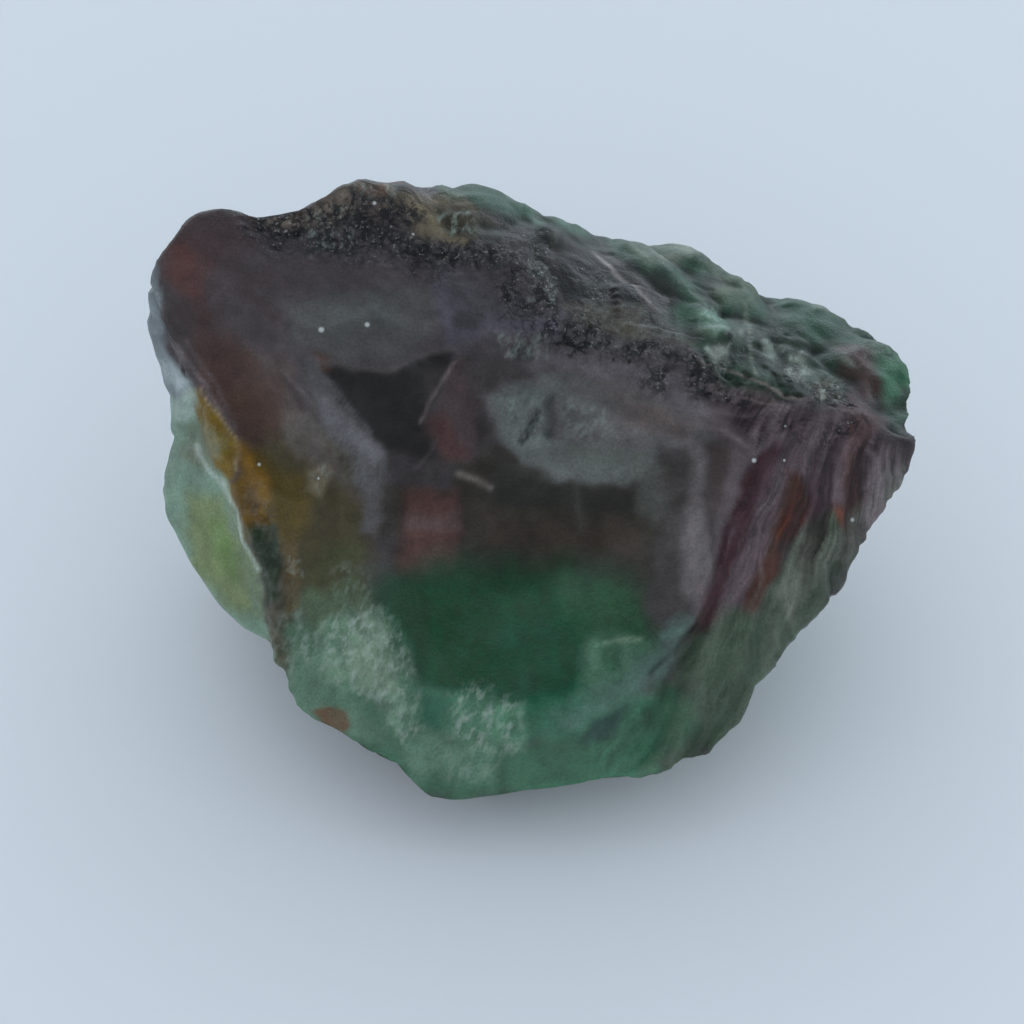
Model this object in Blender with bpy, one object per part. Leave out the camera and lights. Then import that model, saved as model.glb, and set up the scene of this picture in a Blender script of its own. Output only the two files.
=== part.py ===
# Rough crystal lump: one solid stone, about 30 mm wide, lying on a small flat underside.
# Everything is worked out in millimetres about a point inside the stone and scaled to
# metres at the end. +Z is up, the big sloping face looks along -Y and up, and the
# origin is on the ground in the middle of the flat underside.
import math

import bmesh
import bpy
import numpy as np

# ---------------------------------------------------------------- driving dimensions
MM = 0.001
FACE_LEAN = math.radians(50)        # how far the big face leans back from upright
CORE = np.array([0.5, 1.0, 5.0])    # inside point that every surface point is measured from
GRID_CUTS = 27                      # cuts along each side of the starting cube
FRONT_DENSITY = 0.3                 # pulls grid lines toward the big face
MAIN_CRISPNESS = 110                # higher is a sharper edge between two facets
LOBE_CRISPNESS = 80
FRONT_BLEND = 0.8                   # how far the lobe and the main block run together, in front
BACK_BLEND = 2.6                    # and behind
OUTLINE_STEPS = 360                 # directions in which the outline is fitted
CORNER_WEAR = 0.35                  # how much single sharp points are taken down
WAVE_HEIGHT = 0.10                  # slow swelling over the whole stone
SWELL_HEIGHT = 0.10                 # shallow dishes on the big face
LUMP_HEIGHT = 0.5                   # rounded lumps on the far rim
LOBE_HEIGHT = 0.28                  # low scallops on the lobe
RIDGE_HEIGHT = 0.38                 # fan of ridges on the right-hand side
CRUMB_HEIGHT = 0.30                 # crumbled surface of the rough band along the crest
PIT_DEPTH = 0.20                    # pits in the rough band
SCOOP_DEPTH = 0.75                  # hollow chips on the back and sides, with ridges between
SCOOP_SIZE = 3.2
SMALL_SCOOP_DEPTH = 0.22            # smaller ones across the broad ones
SMALL_SCOOP_SIZE = 1.4
SCOOP_LEVEL = 0.4                   # middle depth of the scoops, kept level with the block

STONE_COLOUR = (0.045, 0.085, 0.065, 1.0)
STONE_ROUGHNESS = 0.3
STONE_INDEX = 1.57

# ------------------------------------------------- the frame of the big sloping face
# across is +X, up runs up the slope, out points away from the slope
ACROSS = np.array([1.0, 0.0, 0.0])
UP = np.array([0.0, math.sin(FACE_LEAN), math.cos(FACE_LEAN)])
OUT = np.array([0.0, -math.cos(FACE_LEAN), math.sin(FACE_LEAN)])
FACE_AXES = np.array([ACROSS, UP, OUT])

# Corners of the main block as (across, up, out)
MAIN_CORNERS = {
    "left knob": [(-13.3, 15.1, 7.4), (-12.2, 16.0, 7.0), (-14.0, 12.9, 7.1)],
    "peak": [(-6.4, 17.1, 7.1), (-4.9, 17.3, 6.8)],
    "far rim": [(-1.7, 17.0, 5.0), (1.9, 15.9, 4.0), (6.6, 14.5, 3.0), (11.0, 12.7, 3.0),
                (14.5, 11.0, 3.6), (15.8, 9.5, 4.4)],
    "crest": [(1.9, 11.0, 7.8), (7.4, 9.5, 7.6), (13.4, 7.6, 7.4)],
    "upper face": [(-8.4, 11.2, 9.0), (-2.3, 10.6, 8.8), (1.9, 8.8, 8.9), (7.1, 6.3, 8.4)],
    "lower face": [(-3.6, 3.8, 9.9), (0.3, 0.7, 10.3), (4.2, 3.0, 9.9), (7.1, 2.3, 9.0),
                   (5.1, -2.9, 8.8), (-4.4, -2.5, 9.4), (-0.5, -4.9, 8.6)],
    "right side": [(9.5, 6.2, 7.8), (15.9, 6.8, 6.4), (15.3, 5.1, 6.4), (13.4, 2.6, 5.9),
                   (10.6, -1.5, 5.9), (9.3, -3.4, 6.6)],
    "front foot": [(7.7, -5.3, 8.0), (3.5, -6.4, 8.3), (-2.4, -7.0, 8.4), (-3.3, -6.9, 8.4),
                   (-6.8, -4.5, 8.0), (-8.8, -3.0, 7.6)],
    "left edge": [(-9.2, -0.9, 7.4), (-11.8, 7.0, 7.4)],
}
# Corners out of sight from the big face, as (x, y, z)
UNDERSIDE_CORNERS = [(-2.4, -7.0, -0.2), (3.5, -6.6, -0.2), (7.5, -4, -0.2), (10, 1, -0.2),
                     (7, 8, -0.2), (-3, 9, -0.2), (-7.5, 5, -0.2), (-6, -3, -0.2)]
BACK_CORNERS = [(-6, 11.5, 7), (3, 12, 6), (10, 9.5, 5), (14, 4, 5.5), (-11.3, 8.5, 8.7)]

# Corners of the lobe behind the left edge: its visible rim, where it leaves the big face, its back
LOBE_RIM_CORNERS = [(-14.3, 12.9, 5.8), (-14.5, 11.7, 5.2), (-13.9, 9.2, 4.4), (-14.1, 5.4, 3.8),
                    (-14.1, 4.2, 3.8), (-13.3, 2.6, 3.9), (-11.0, 0.0, 4.4), (-9.4, -0.8, 4.9)]
LOBE_TOP_CORNERS = [(-13.2, 11.0, 6.6), (-11.6, 7.0, 6.5), (-10.5, 4.0, 6.4), (-9.7, 1.0, 6.3),
                    (-9.2, -1.6, 6.2)]
LOBE_BACK_CORNERS = [(-9, -1, 0.3), (-11.5, 4.5, 2), (-13, 6.5, 7), (-11.5, 8.5, 9), (-8, 7, 0.2),
                     (6, 0, 2), (6, 6, 4), (4, 4, 9), (4, -3, 3)]

# Outline of the stone seen square to the big face, clockwise from the left knob
OUTLINE = [
    (-13.3, 14.7), (-12.5, 15.8), (-11.5, 16.1), (-10.0, 15.7), (-8.4, 16.1), (-7.1, 16.8),
    (-6.0, 17.3), (-4.4, 17.2), (-3.2, 16.8), (-1.6, 17.0), (0.3, 16.4), (2.1, 15.8), (4.0, 15.0),
    (6.8, 14.5), (8.3, 13.8), (10.1, 12.8), (12.6, 12.0), (14.1, 11.3), (15.3, 10.4), (15.9, 9.2),
    (15.7, 7.6), (16.0, 6.8), (15.5, 5.4), (14.1, 3.8), (12.9, 1.1), (11.2, -0.7), (9.5, -2.7),
    (8.9, -4.1), (7.7, -5.3), (5.7, -5.9), (3.1, -6.4), (0.5, -6.8), (-2.3, -7.1), (-3.2, -7.0),
    (-4.5, -5.7), (-6.8, -4.5), (-8.5, -3.5), (-9.1, -2.0), (-9.5, -0.7), (-10.8, 0.1),
    (-12.5, 1.8), (-13.6, 3.6), (-13.8, 5.1), (-13.4, 7.0), (-13.6, 9.0), (-14.4, 11.7),
    (-14.0, 13.8),
]

# Hollows in the big face: centre (across, up), half sizes, turn in degrees, depth
HOLLOWS = {
    "three-cornered hollow": ((-4.5, 7.4), (2.5, 3.6), 20, 0.5),
    "wide lower hollow": ((2.0, 1.2), (5.6, 5.2), 0, 0.55),
    "left scoop": ((-9.6, 8.6), (1.8, 4.2), 22, 0.35),
    "foot scoop": ((-5.6, -6.2), (2.0, 1.2), -35, 0.35),
    "knob scoop": ((-8.0, 13.2), (3.2, 1.7), -8, 0.3),
}
# Ledges: a line of (across, up) points, the step in height on its left, how far it fades
LEDGES = {
    "upper shelf": ([(-11.3, 11.3), (-8.4, 10.8), (-6.8, 10.5), (-4.6, 10.5), (-2.2, 10.8)],
                    0.16, 2.2),
    "patch lip": ([(-3.4, 9.2), (-2.4, 7.9), (-1.3, 6.9), (0.1, 6.1), (1.9, 5.8), (4.3, 5.5),
                   (6.4, 5.1)], 0.24, 2.6),
}
# Ribs: a line of (across, up) points, height, half width
RIBS = {
    "slanting rib": ([(-9.6, 10.0), (-7.6, 8.6), (-5.4, 6.6), (-5.5, 3.8), (-5.0, 2.3)], 0.16, 0.9),
    "rim of the lower hollow": ([(7.0, 5.8), (7.5, 3.0), (7.0, 0.7), (6.0, -1.3), (4.3, -3.1),
                                 (0.5, -4.8)], 0.26, 0.8),
    "right corner": ([(7.4, 7.8), (9.5, 6.2), (11.4, 7.0), (13.4, 7.6)], 0.25, 0.5),
    "chipped left edge": ([(-12.3, 8.9), (-11.1, 5.8), (-9.9, 2.7), (-9.1, -1.5)], 0.2, 0.35),
    "crest": ([(-1.2, 14.4), (2.0, 11.9), (4.8, 10.7), (7.4, 9.7), (9.8, 8.8), (13.4, 7.7)],
              0.3, 0.8),
}
ROUGH_BAND = [(-9.3, 15.9), (-5.0, 15.6), (-1.0, 13.9), (2.3, 11.6), (5.4, 10.6), (9.0, 9.2),
              (12.6, 8.1)]
FACE_RIGHT_EDGE = [(7.6, 9.0), (9.5, 6.2), (7.9, 2.8), (7.2, 0.8), (6.3, -1.3), (4.6, -3.3),
                   (2.6, -5.0)]
LOBE_EDGE = [(-14.0, 14.5), (-12.9, 10.6), (-11.2, 7.0), (-10.2, 4.0), (-9.4, 1.0), (-8.9, -2.5)]
FAN_POINT = (15.5, 17.0)            # the ridges spread downward from here


def from_face(points):
    return np.asarray(points, float) @ FACE_AXES


def to_face(points):
    return points @ FACE_AXES.T


def ease(low, high, value):
    """0 below low, 1 above high, with a smooth step between."""
    part = np.clip((value - low) / (high - low), 0, 1)
    return part * part * (3 - 2 * part)


# ------------------------------------------------------------------ repeatable noise
def cell_value(cells, seed):
    """A number from -1 to 1 for each whole-number cell, always the same for a seed."""
    mix = (cells[..., 0] * 73856093) ^ (cells[..., 1] * 19349663) ^ (cells[..., 2] * 83492791)
    mix = mix ^ (seed * 40503 + 7919)
    mix = ((mix ^ (mix >> 13)) * 1274126177) & 0xFFFFFFFF
    mix = mix ^ (mix >> 16)
    return (mix & 0xFFFF) / 32767.5 - 1


def smooth_noise(points, seed):
    cells = np.floor(points).astype(np.int64)
    inside = points - cells
    inside = inside * inside * (3 - 2 * inside)
    total = 0
    for corner in np.ndindex(2, 2, 2):
        share = np.prod(np.where(corner, inside, 1 - inside), axis=-1)
        total = total + share * cell_value(cells + np.array(corner), seed)
    return total


def layered_noise(points, layers, seed):
    """Smooth noise added up in layers, each twice as fine and half as strong."""
    total = 0
    for layer in range(layers):
        total = total + 0.5**layer * smooth_noise(points * 2**layer + 17.3 * layer, seed + layer)
    return total / (2 - 0.5 ** (layers - 1))


def folded_noise(points, layers, seed):
    """Size of smooth noise added up in layers: round lumps with creases between them."""
    total = 0
    for layer in range(layers):
        noise = smooth_noise(points * 2.1**layer + 9.1 * layer, seed + layer)
        total = total + 0.42**layer * np.abs(noise)
    return total


def cell_scoops(points, seed):
    """Lowest of tilted bowls standing on jittered cells: shallow scoops with ridges between."""
    cells = np.floor(points).astype(np.int64)
    height = np.full(points.shape[:-1], 9.0)
    for step in np.ndindex(3, 3, 3):
        cell = cells + np.array(step) - 1
        jitter = np.stack([cell_value(cell, seed + k) for k in (1, 2, 3)], -1)
        tilt = np.stack([cell_value(cell, seed + k) for k in (4, 5, 6)], -1)
        offset = points - (cell + 0.5 + 0.45 * jitter)
        bowl = 0.4 * (offset * offset).sum(-1) - 0.9 * (offset * tilt).sum(-1)
        height = np.minimum(height, bowl - 0.4 * cell_value(cell, seed + 7))
    return height


# ------------------------------------------------------------------- the block shape
def hull_planes(corners):
    """Facets of the convex block around the corners: normals and distances from CORE."""
    hull = bmesh.new()
    for corner in corners:
        hull.verts.new(corner)
    bmesh.ops.convex_hull(hull, input=hull.verts)
    normals = np.array([face.normal for face in hull.faces])
    centres = np.array([face.calc_center_median() for face in hull.faces])
    hull.free()
    distances = ((centres - CORE) * normals).sum(1)
    normals = normals * np.sign(distances)[:, None]
    planes = np.unique(np.round(np.c_[normals, np.abs(distances)], 3), axis=0)
    return planes[:, :3], planes[:, 3]


def block_reach(directions, planes, crispness):
    """Distance from CORE to the nearest facet, with the edges slightly worn."""
    normals, distances = planes
    closeness = np.clip(directions @ normals.T, 0, None) / distances
    return np.power(closeness, crispness).sum(-1) ** (-1 / crispness)


def main_planes():
    corners = [from_face(group) for group in MAIN_CORNERS.values()]
    corners += [np.array(UNDERSIDE_CORNERS, float), np.array(BACK_CORNERS, float)]
    return hull_planes(np.concatenate(corners))


def lobe_planes():
    seen = from_face(LOBE_RIM_CORNERS + LOBE_TOP_CORNERS)
    return hull_planes(np.concatenate([seen, np.array(LOBE_BACK_CORNERS, float)]))


def stone_reach(directions, blocks):
    """The farther of the two blocks, filled in where they come within blend of each other."""
    main_facets, lobe_facets = blocks
    main = block_reach(directions, main_facets, MAIN_CRISPNESS)
    lobe = block_reach(directions, lobe_facets, LOBE_CRISPNESS)
    behind = ease(0.3, -0.3, directions @ OUT)
    blend = FRONT_BLEND * (1 - behind) + BACK_BLEND * behind
    closeness = np.clip(1 - np.abs(main - lobe) / blend, 0, None)
    return np.maximum(main, lobe) + blend * closeness**2 / 4


def around(angles, known_angles, known_values):
    """Reads a value that repeats every full turn."""
    order = np.argsort(known_angles)
    turn = 2 * np.pi
    angle = known_angles[order]
    value = known_values[order]
    return np.interp(angles, np.r_[angle - turn, angle, angle + turn], np.r_[value, value, value])


def fit_outline(points, blocks):
    """Stretches the stone in the plane of the big face so that its outline is OUTLINE."""
    turns = (np.arange(OUTLINE_STEPS) + 0.5) / OUTLINE_STEPS * 2 * np.pi - np.pi
    tips = np.linspace(-1.2, 1.2, 61)
    in_plane = np.cos(turns)[:, None, None] * ACROSS + np.sin(turns)[:, None, None] * UP
    rays = in_plane * np.cos(tips)[:, None] + OUT * np.sin(tips)[:, None]
    widest = (stone_reach(rays, blocks) * np.cos(tips)).max(1)
    centre = to_face(CORE)[:2]
    drawn = np.array(OUTLINE) - centre
    wanted = around(turns, np.arctan2(drawn[:, 1], drawn[:, 0]), np.hypot(drawn[:, 0], drawn[:, 1]))
    offset = to_face(points)[..., :2] - centre
    turn = np.arctan2(offset[..., 1], offset[..., 0])
    nearness = np.hypot(offset[..., 0], offset[..., 1]) / around(turn, turns, widest)
    stretch = (around(turn, turns, wanted / widest) - 1) * ease(0.8, 0.985, nearness)
    move = offset * stretch[..., None]
    return points + move[..., :1] * ACROSS + move[..., 1:] * UP


# ------------------------------------------------------------------------ the relief
def signed_distance(places, line):
    """Distance to a line of points in the face plane, positive on the left of its run."""
    nearest = np.full(places.shape[:-1], 1e9)
    signed = np.zeros(places.shape[:-1])
    line = np.array(line, float)
    for start, end in zip(line[:-1], line[1:]):
        run = end - start
        offset = places - start
        along = np.clip((offset @ run) / (run @ run), 0, 1)
        gap = offset - along[..., None] * run
        distance = np.hypot(gap[..., 0], gap[..., 1])
        side = np.where(run[0] * offset[..., 1] - run[1] * offset[..., 0] >= 0, 1, -1)
        closer = distance < nearest - 1e-9
        nearest = np.where(closer, distance, nearest)
        signed = np.where(closer, distance * side, signed)
    return signed


def front_relief(places):
    """Hollows, ledges and ribs of the big face."""
    height = np.zeros(places.shape[:-1])
    for centre, half, degrees, depth in HOLLOWS.values():
        turn = math.radians(degrees)
        offset = places - np.array(centre)
        along = (offset[..., 0] * math.cos(turn) + offset[..., 1] * math.sin(turn)) / half[0]
        over = (offset[..., 1] * math.cos(turn) - offset[..., 0] * math.sin(turn)) / half[1]
        height -= depth * np.clip(1 - along**2 - over**2, 0, 1) ** 0.9
    for line, step, fade in LEDGES.values():
        distance = signed_distance(places, line)
        height += step * ease(-0.6, 0.6, distance) * np.exp(-np.clip(distance, 0, None) / fade)
    for line, rise, half_width in RIBS.values():
        height += rise * np.exp(-((signed_distance(places, line) / half_width) ** 2))
    return height


def relief(points, normals):
    """Height of the surface detail above the plain block, in millimetres."""
    flat = to_face(points)
    facing = normals @ OUT
    wander = np.stack([layered_noise(points * 0.5, 3, 11), layered_noise(points * 0.5, 3, 21)], -1)
    places = flat[..., :2] + 0.5 * wander
    front = ease(0.05, 0.35, facing)
    band_gap = signed_distance(places, ROUGH_BAND)
    band = ease(1.7, 0.5, np.abs(band_gap + 0.3)) * ease(-0.1, 0.2, facing)
    height = front * front_relief(places)
    height += front * (1 - band) * SWELL_HEIGHT * layered_noise(points * 0.5, 2, 41)

    pits = layered_noise(points * 2.6, 1, 51)
    crumbs = layered_noise(points * 1.1, 2, 55)
    height += band * (CRUMB_HEIGHT * crumbs - PIT_DEPTH * ease(0.15, 0.45, pits))

    warp = 0.5 * np.stack([layered_noise(points * 0.4, 2, seed) for seed in (5, 6, 7)], -1)
    beyond = ease(0.6, 1.8, band_gap) * ease(-0.6, 0.0, facing)
    height += beyond * LUMP_HEIGHT * (folded_noise(points * 0.42 + warp, 2, 45) - 0.6)
    lobe = ease(0.2, -0.2, signed_distance(flat[..., :2], LOBE_EDGE)) * ease(-0.6, 0.0, facing)
    lobe *= ease(13.5, 12, flat[..., 1])
    height += lobe * LOBE_HEIGHT * (folded_noise(points * 0.7 + warp, 1, 48) - 0.3)

    right = ease(-0.1, 0.6, signed_distance(flat[..., :2], FACE_RIGHT_EDGE))
    right *= ease(-0.2, 0.1, facing) * ease(9.4, 8.4, flat[..., 1] + 0.35 * (flat[..., 0] - 9))
    from_fan = np.array(FAN_POINT) - flat[..., :2]
    fan = np.arctan2(-from_fan[..., 0], from_fan[..., 1])
    flow = np.stack([20 * fan, 0.09 * np.hypot(from_fan[..., 0], from_fan[..., 1]), 0 * fan], -1)
    height += right * RIDGE_HEIGHT * layered_noise(flow, 1, 66)

    broken = 1 - ease(-0.5, -0.1, facing)
    scoops = cell_scoops(points / SCOOP_SIZE + 0.6 * warp, 71) + SCOOP_LEVEL
    small_scoops = cell_scoops(points / SMALL_SCOOP_SIZE + 0.6 * warp, 75) + SCOOP_LEVEL
    height += broken * (SCOOP_DEPTH * scoops + SMALL_SCOOP_DEPTH * small_scoops)
    height += WAVE_HEIGHT * layered_noise(points * 0.28, 2, 81)
    return height * ease(0.1, 1.2, points[..., 2])


# --------------------------------------------------------------------- the one solid
def clear_scene():
    for item in list(bpy.data.objects):
        bpy.data.objects.remove(item, do_unlink=True)


def grid_cube():
    """A cube with evenly cut sides, later blown up into the stone."""
    cube = bmesh.new()
    bmesh.ops.create_cube(cube, size=2)
    bmesh.ops.subdivide_edges(cube, edges=cube.edges[:], cuts=GRID_CUTS, use_grid_fill=True)
    return cube


def place_vertices(cube):
    places = np.array([vertex.co for vertex in cube.verts])
    places = np.tan(places * np.pi / 4)
    directions = places / np.linalg.norm(places, axis=1, keepdims=True)
    directions = directions + FRONT_DENSITY * OUT
    directions /= np.linalg.norm(directions, axis=1, keepdims=True)
    blocks = (main_planes(), lobe_planes())
    points = CORE + directions * stone_reach(directions, blocks)[:, None]
    points = fit_outline(points, blocks)
    for vertex, point in zip(cube.verts, points):
        vertex.co = point
    cube.normal_update()
    normals = np.array([vertex.normal for vertex in cube.verts])
    points = points + normals * relief(points, normals)[:, None]
    for vertex, point in zip(cube.verts, points):
        vertex.co = point
    bmesh.ops.smooth_vert(cube, verts=cube.verts[:], factor=CORNER_WEAR, use_axis_x=True,
                          use_axis_y=True, use_axis_z=True)
    for vertex in cube.verts:
        vertex.co.z = max(vertex.co.z, 0)
        vertex.co *= MM


def stone_material():
    material = bpy.data.materials.new("green_brown_crystal")
    material.use_nodes = True
    shader = material.node_tree.nodes["Principled BSDF"]
    shader.inputs["Base Color"].default_value = STONE_COLOUR
    shader.inputs["Roughness"].default_value = STONE_ROUGHNESS
    shader.inputs["Metallic"].default_value = 0.0
    shader.inputs["IOR"].default_value = STONE_INDEX
    return material


def build():
    clear_scene()
    collection = bpy.data.collections.new("raw_emerald")
    bpy.context.scene.collection.children.link(collection)
    cube = grid_cube()
    place_vertices(cube)
    bmesh.ops.triangulate(cube, faces=cube.faces[:])
    bmesh.ops.recalc_face_normals(cube, faces=cube.faces[:])
    mesh = bpy.data.meshes.new("stone")
    cube.to_mesh(mesh)
    cube.free()
    mesh.shade_smooth()
    mesh.set_sharp_from_angle(angle=math.radians(28))
    mesh.materials.append(stone_material())
    stone = bpy.data.objects.new("stone", mesh)
    collection.objects.link(stone)


build()
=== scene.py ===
import bpy
import bmesh
import numpy as np
from math import radians, sin, cos, pi
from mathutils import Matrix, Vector


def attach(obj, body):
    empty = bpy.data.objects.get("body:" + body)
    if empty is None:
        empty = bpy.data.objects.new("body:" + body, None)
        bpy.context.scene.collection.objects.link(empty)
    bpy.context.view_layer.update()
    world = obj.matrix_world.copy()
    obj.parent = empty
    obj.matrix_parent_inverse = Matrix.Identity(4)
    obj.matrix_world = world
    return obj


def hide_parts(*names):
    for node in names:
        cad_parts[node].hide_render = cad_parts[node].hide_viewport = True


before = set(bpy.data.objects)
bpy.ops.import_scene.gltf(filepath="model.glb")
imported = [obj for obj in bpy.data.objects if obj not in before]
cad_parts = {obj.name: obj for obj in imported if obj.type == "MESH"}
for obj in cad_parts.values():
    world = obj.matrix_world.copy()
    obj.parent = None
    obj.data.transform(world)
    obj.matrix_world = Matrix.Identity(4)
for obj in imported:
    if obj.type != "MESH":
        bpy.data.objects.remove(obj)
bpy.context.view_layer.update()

# The stone is worked out in millimetres. Its big sloping face has axes of its own: across is +X, up runs up
# the slope, and out points away from the face.
stoneShape = {
    "faceLean": 50,            # degrees that the big face leans back
    "core": (0.5, 1.0, 5.0),   # inside point that all surface points are measured from
    "gridSteps": 126,          # steps along each side of the starting cube
    "spread": (1.0, 0.85, 0.52),   # how the grid is stretched across, up and out
    "frontDensity": 0.32,      # share of the grid drawn towards the big face
    "mainCrispness": 110,      # higher is a sharper edge between two facets
    "lobeCrispness": 80,
    "frontBlend": 0.8,         # how far the lobe and the main block run together, in front
    "backBlend": 2.6,          # and behind
    "wander": 0.25,            # how far slow and quick noise shake the places that zones are read at
    "ripple": 0.10,
    "warp": 0.5,               # how far the lumps and chips are bent
    "hollowPower": 0.9,        # below 1 is a flatter floor in the hollows
    "bandShift": 0.3,          # how far the middle of the rough band lies on the near side of its line
    "bandOnFacets": 0.3,       # share of the band's relief that the flat facets keep
    "lumpsOnFacets": 0.2,
    "waveHeight": 0.10,        # slow swelling, all over
    "swellHeight": 0.10,       # shallow dishes on the big face
    "crumbHeight": 0.30,       # rough band on the crest: crumbs, fine roughness and pits
    "fineHeight": 0.12,
    "pitDepth": 0.20,
    "lumpHeight": 0.5,         # rounded lumps on the far rim, and small flats on them
    "lumpFlatHeight": 0.16,
    "facetHeight": 0.2,        # flat broken facets behind the rough band
    "lobeHeight": 0.28,        # low scallops on the lobe
    "chippedHeight": 0.35,     # chips along the left edge
    "grooveHeight": 0.16,      # fan of grooves on the right
    "ridgeHeight": 0.38,       # broad ridges under the grooves
    "chipHeight": 0.75,        # broken facets on hidden sides, smaller ones across them, and their roughness
    "smallChipHeight": 0.22,
    "brokenHeight": 0.10,
    "grainHeight": 0.012,      # finest roughness in the mesh
}
grooveFan = {                  # grooves run out from one point; the other numbers count waves of their noise
    "point": (15.5, 17.0),     # across, up
    "round": 44,               # for each radian round the point
    "along": 0.32,             # for each millimetre away from it
    "inward": 0.15,            # for each millimetre out of the face
    "wander": 1.3,             # how much the noises bend them
    "ripple": 0.4,
    "topSlope": 0.35,          # they end above a line that falls to the right
    "topAcross": 9,
}
noisePlan = {                  # waves per millimetre, layers, seed
    "wander": (0.5, 3, 11),
    "ripple": (1.6, 3, 31),
    "warp": (0.4, 2, 5),
    "swell": (0.5, 3, 41),
    "lumps": (0.42, 3, 45),
    "scallops": (0.7, 2, 48),
    "chipped": (1.3, 2, 49),
    "pits": (2.6, 3, 51),
    "crumbs": (1.1, 4, 55),
    "grooves": (2.0, 4, 62),
    "ridges": (0.45, 2, 66),
    "broken": (1.6, 4, 72),
    "wave": (0.28, 2, 81),
    "grain": (4.0, 2, 91),
    "shake": (0.9, 4, 101),
    "bandWave": (0.2, 4, 121),
    "bandFine": (0.7, 4, 125),
    "hiddenCloud": (0.5, 4, 131),
    "hiddenRust": (0.45, 4, 135),
    "mottle": (2.4, 4, 141),
    "drift": (0.5, 3, 145),
    "worn": (1.3, 4, 151),
    "clumps": (0.9, 3, 161),
    "sloping": (1.0, 3, 171),
    "upright": (1.0, 3, 181),
    "finishShake": (0.9, 3, 201),
    "roughPatch": (1.5, 3, 221),
    "paleShake": (1.5, 3, 231),
    "hiddenPale": (0.3, 3, 251),
}
facetPlan = {                  # size in millimetres, share of the warp, seed, roundness
    "chips": (3.2, 0.6, 71, 0.4),
    "smallChips": (1.4, 0.6, 75, 0.4),
    "lumpFlats": (1.0, 1.0, 83, 0.5),
    "flatFacets": (2.0, 0.3, 87, 0.2),
}
noiseMiddle = {                # taken off each, so that it rises and falls
    "chips": 0.4,
    "lumps": 0.6,
    "flatFacets": 0.4,
    "scallops": 0.3,
    "chipped": 0.4,
}
fades = {                      # a zone is 0 at the first value and 1 at the second
    "front": (0.05, 0.35),     # facing: 1 looks straight out of the big face, -1 away from it
    "behind": (0.3, -0.3),
    "broken": (-0.1, -0.5),
    "seen": (-0.35, 0.1),
    "bandGap": (1.7, 0.5),     # distance in millimetres from the zone's line, then facing
    "bandFacing": (-0.1, 0.2),
    "rightGap": (-0.1, 0.6),
    "rightFacing": (-0.2, 0.1),
    "rightTop": (9.4, 8.4),
    "beyondGap": (0.6, 1.8),
    "beyondFacing": (-0.6, 0.0),
    "facetGap": (-0.4, 0.4),
    "facetFacing": (-0.3, 0.1),
    "lobeGap": (0.2, -0.2),
    "lobeFacing": (-0.6, 0.0),
    "lobeTop": (13.5, 12),     # places up the face
    "lobeFoot": (2.5, 5.5),
    "chippedGap": (0.9, 0.2),
    "chippedFacing": (-0.3, 0.1),
    "ledge": (-0.6, 0.6),
    "outline": (0.8, 0.985),   # share of the way from the middle of the face to its edge
    "pits": (0.15, 0.45),      # noise
    "foot": (0.1, 1.2),        # height above the floor
}
mainCorners = {                # corners of the main block in view: across, up, out
    "left knob": [(-13.3, 15.1, 7.4), (-12.2, 16, 7), (-14, 12.9, 7.1)],
    "peak": [(-6.4, 17.1, 7.1), (-4.9, 17.3, 6.8)],
    "far rim": [(-1.7, 17, 5), (1.9, 15.9, 4), (6.6, 14.5, 3), (11, 12.7, 3), (14.5, 11, 3.6),
        (15.8, 9.5, 4.4)],
    "crest": [(1.9, 11, 7.8), (7.4, 9.5, 7.6), (13.4, 7.6, 7.4)],
    "upper face": [(-8.4, 11.2, 9), (-2.3, 10.6, 8.8), (1.9, 8.8, 8.9), (7.1, 6.3, 8.4)],
    "lower face": [(-3.6, 3.8, 9.9), (0.3, 0.7, 10.3), (4.2, 3, 9.9), (7.1, 2.3, 9), (5.1, -2.9, 8.8),
        (-4.4, -2.5, 9.4), (-0.5, -4.9, 8.6)],
    "right side": [(9.5, 6.2, 7.8), (15.9, 6.8, 6.4), (15.3, 5.1, 6.4), (13.4, 2.6, 5.9), (10.6, -1.5, 5.9),
        (9.3, -3.4, 6.6)],
    "front foot": [(7.7, -5.3, 8), (3.5, -6.4, 8.3), (-2.4, -7, 8.4), (-3.3, -6.9, 8.4), (-6.8, -4.5, 8),
        (-8.8, -3, 7.6)],
    "left edge": [(-9.2, -0.9, 7.4), (-11.8, 7, 7.4)],
}
hiddenCorners = {              # its corners out of view: x, y, z
    "underside": [(-2.4, -7, -0.2), (3.5, -6.6, -0.2), (7.5, -4, -0.2), (10, 1, -0.2), (7, 8, -0.2),
        (-3, 9, -0.2), (-7.5, 5, -0.2), (-6, -3, -0.2)],
    "back": [(-6, 11.5, 7), (3, 12, 6), (10, 9.5, 5), (14, 4, 5.5), (-11.3, 8.5, 8.7)],
}
lobeRim = [                    # corners of the lobe behind the left edge: across, up, out
    (-14.3, 12.9, 5.8), (-14.5, 11.7, 5.2), (-13.9, 9.2, 4.4), (-14.1, 5.4, 3.8), (-14.1, 4.2, 3.8),
    (-13.3, 2.6, 3.9), (-11, 0, 4.4), (-9.4, -0.8, 4.9), (-13.2, 11, 6.6), (-11.6, 7, 6.5), (-10.5, 4, 6.4),
    (-9.7, 1, 6.3), (-9.2, -1.6, 6.2),
]
lobeBack = [                   # x, y, z
    (-9, -1, 0.3), (-11.5, 4.5, 2), (-13, 6.5, 7), (-11.5, 8.5, 9), (-8, 7, 0.2), (6, 0, 2), (6, 6, 4),
    (4, 4, 9), (4, -3, 3),
]
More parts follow.
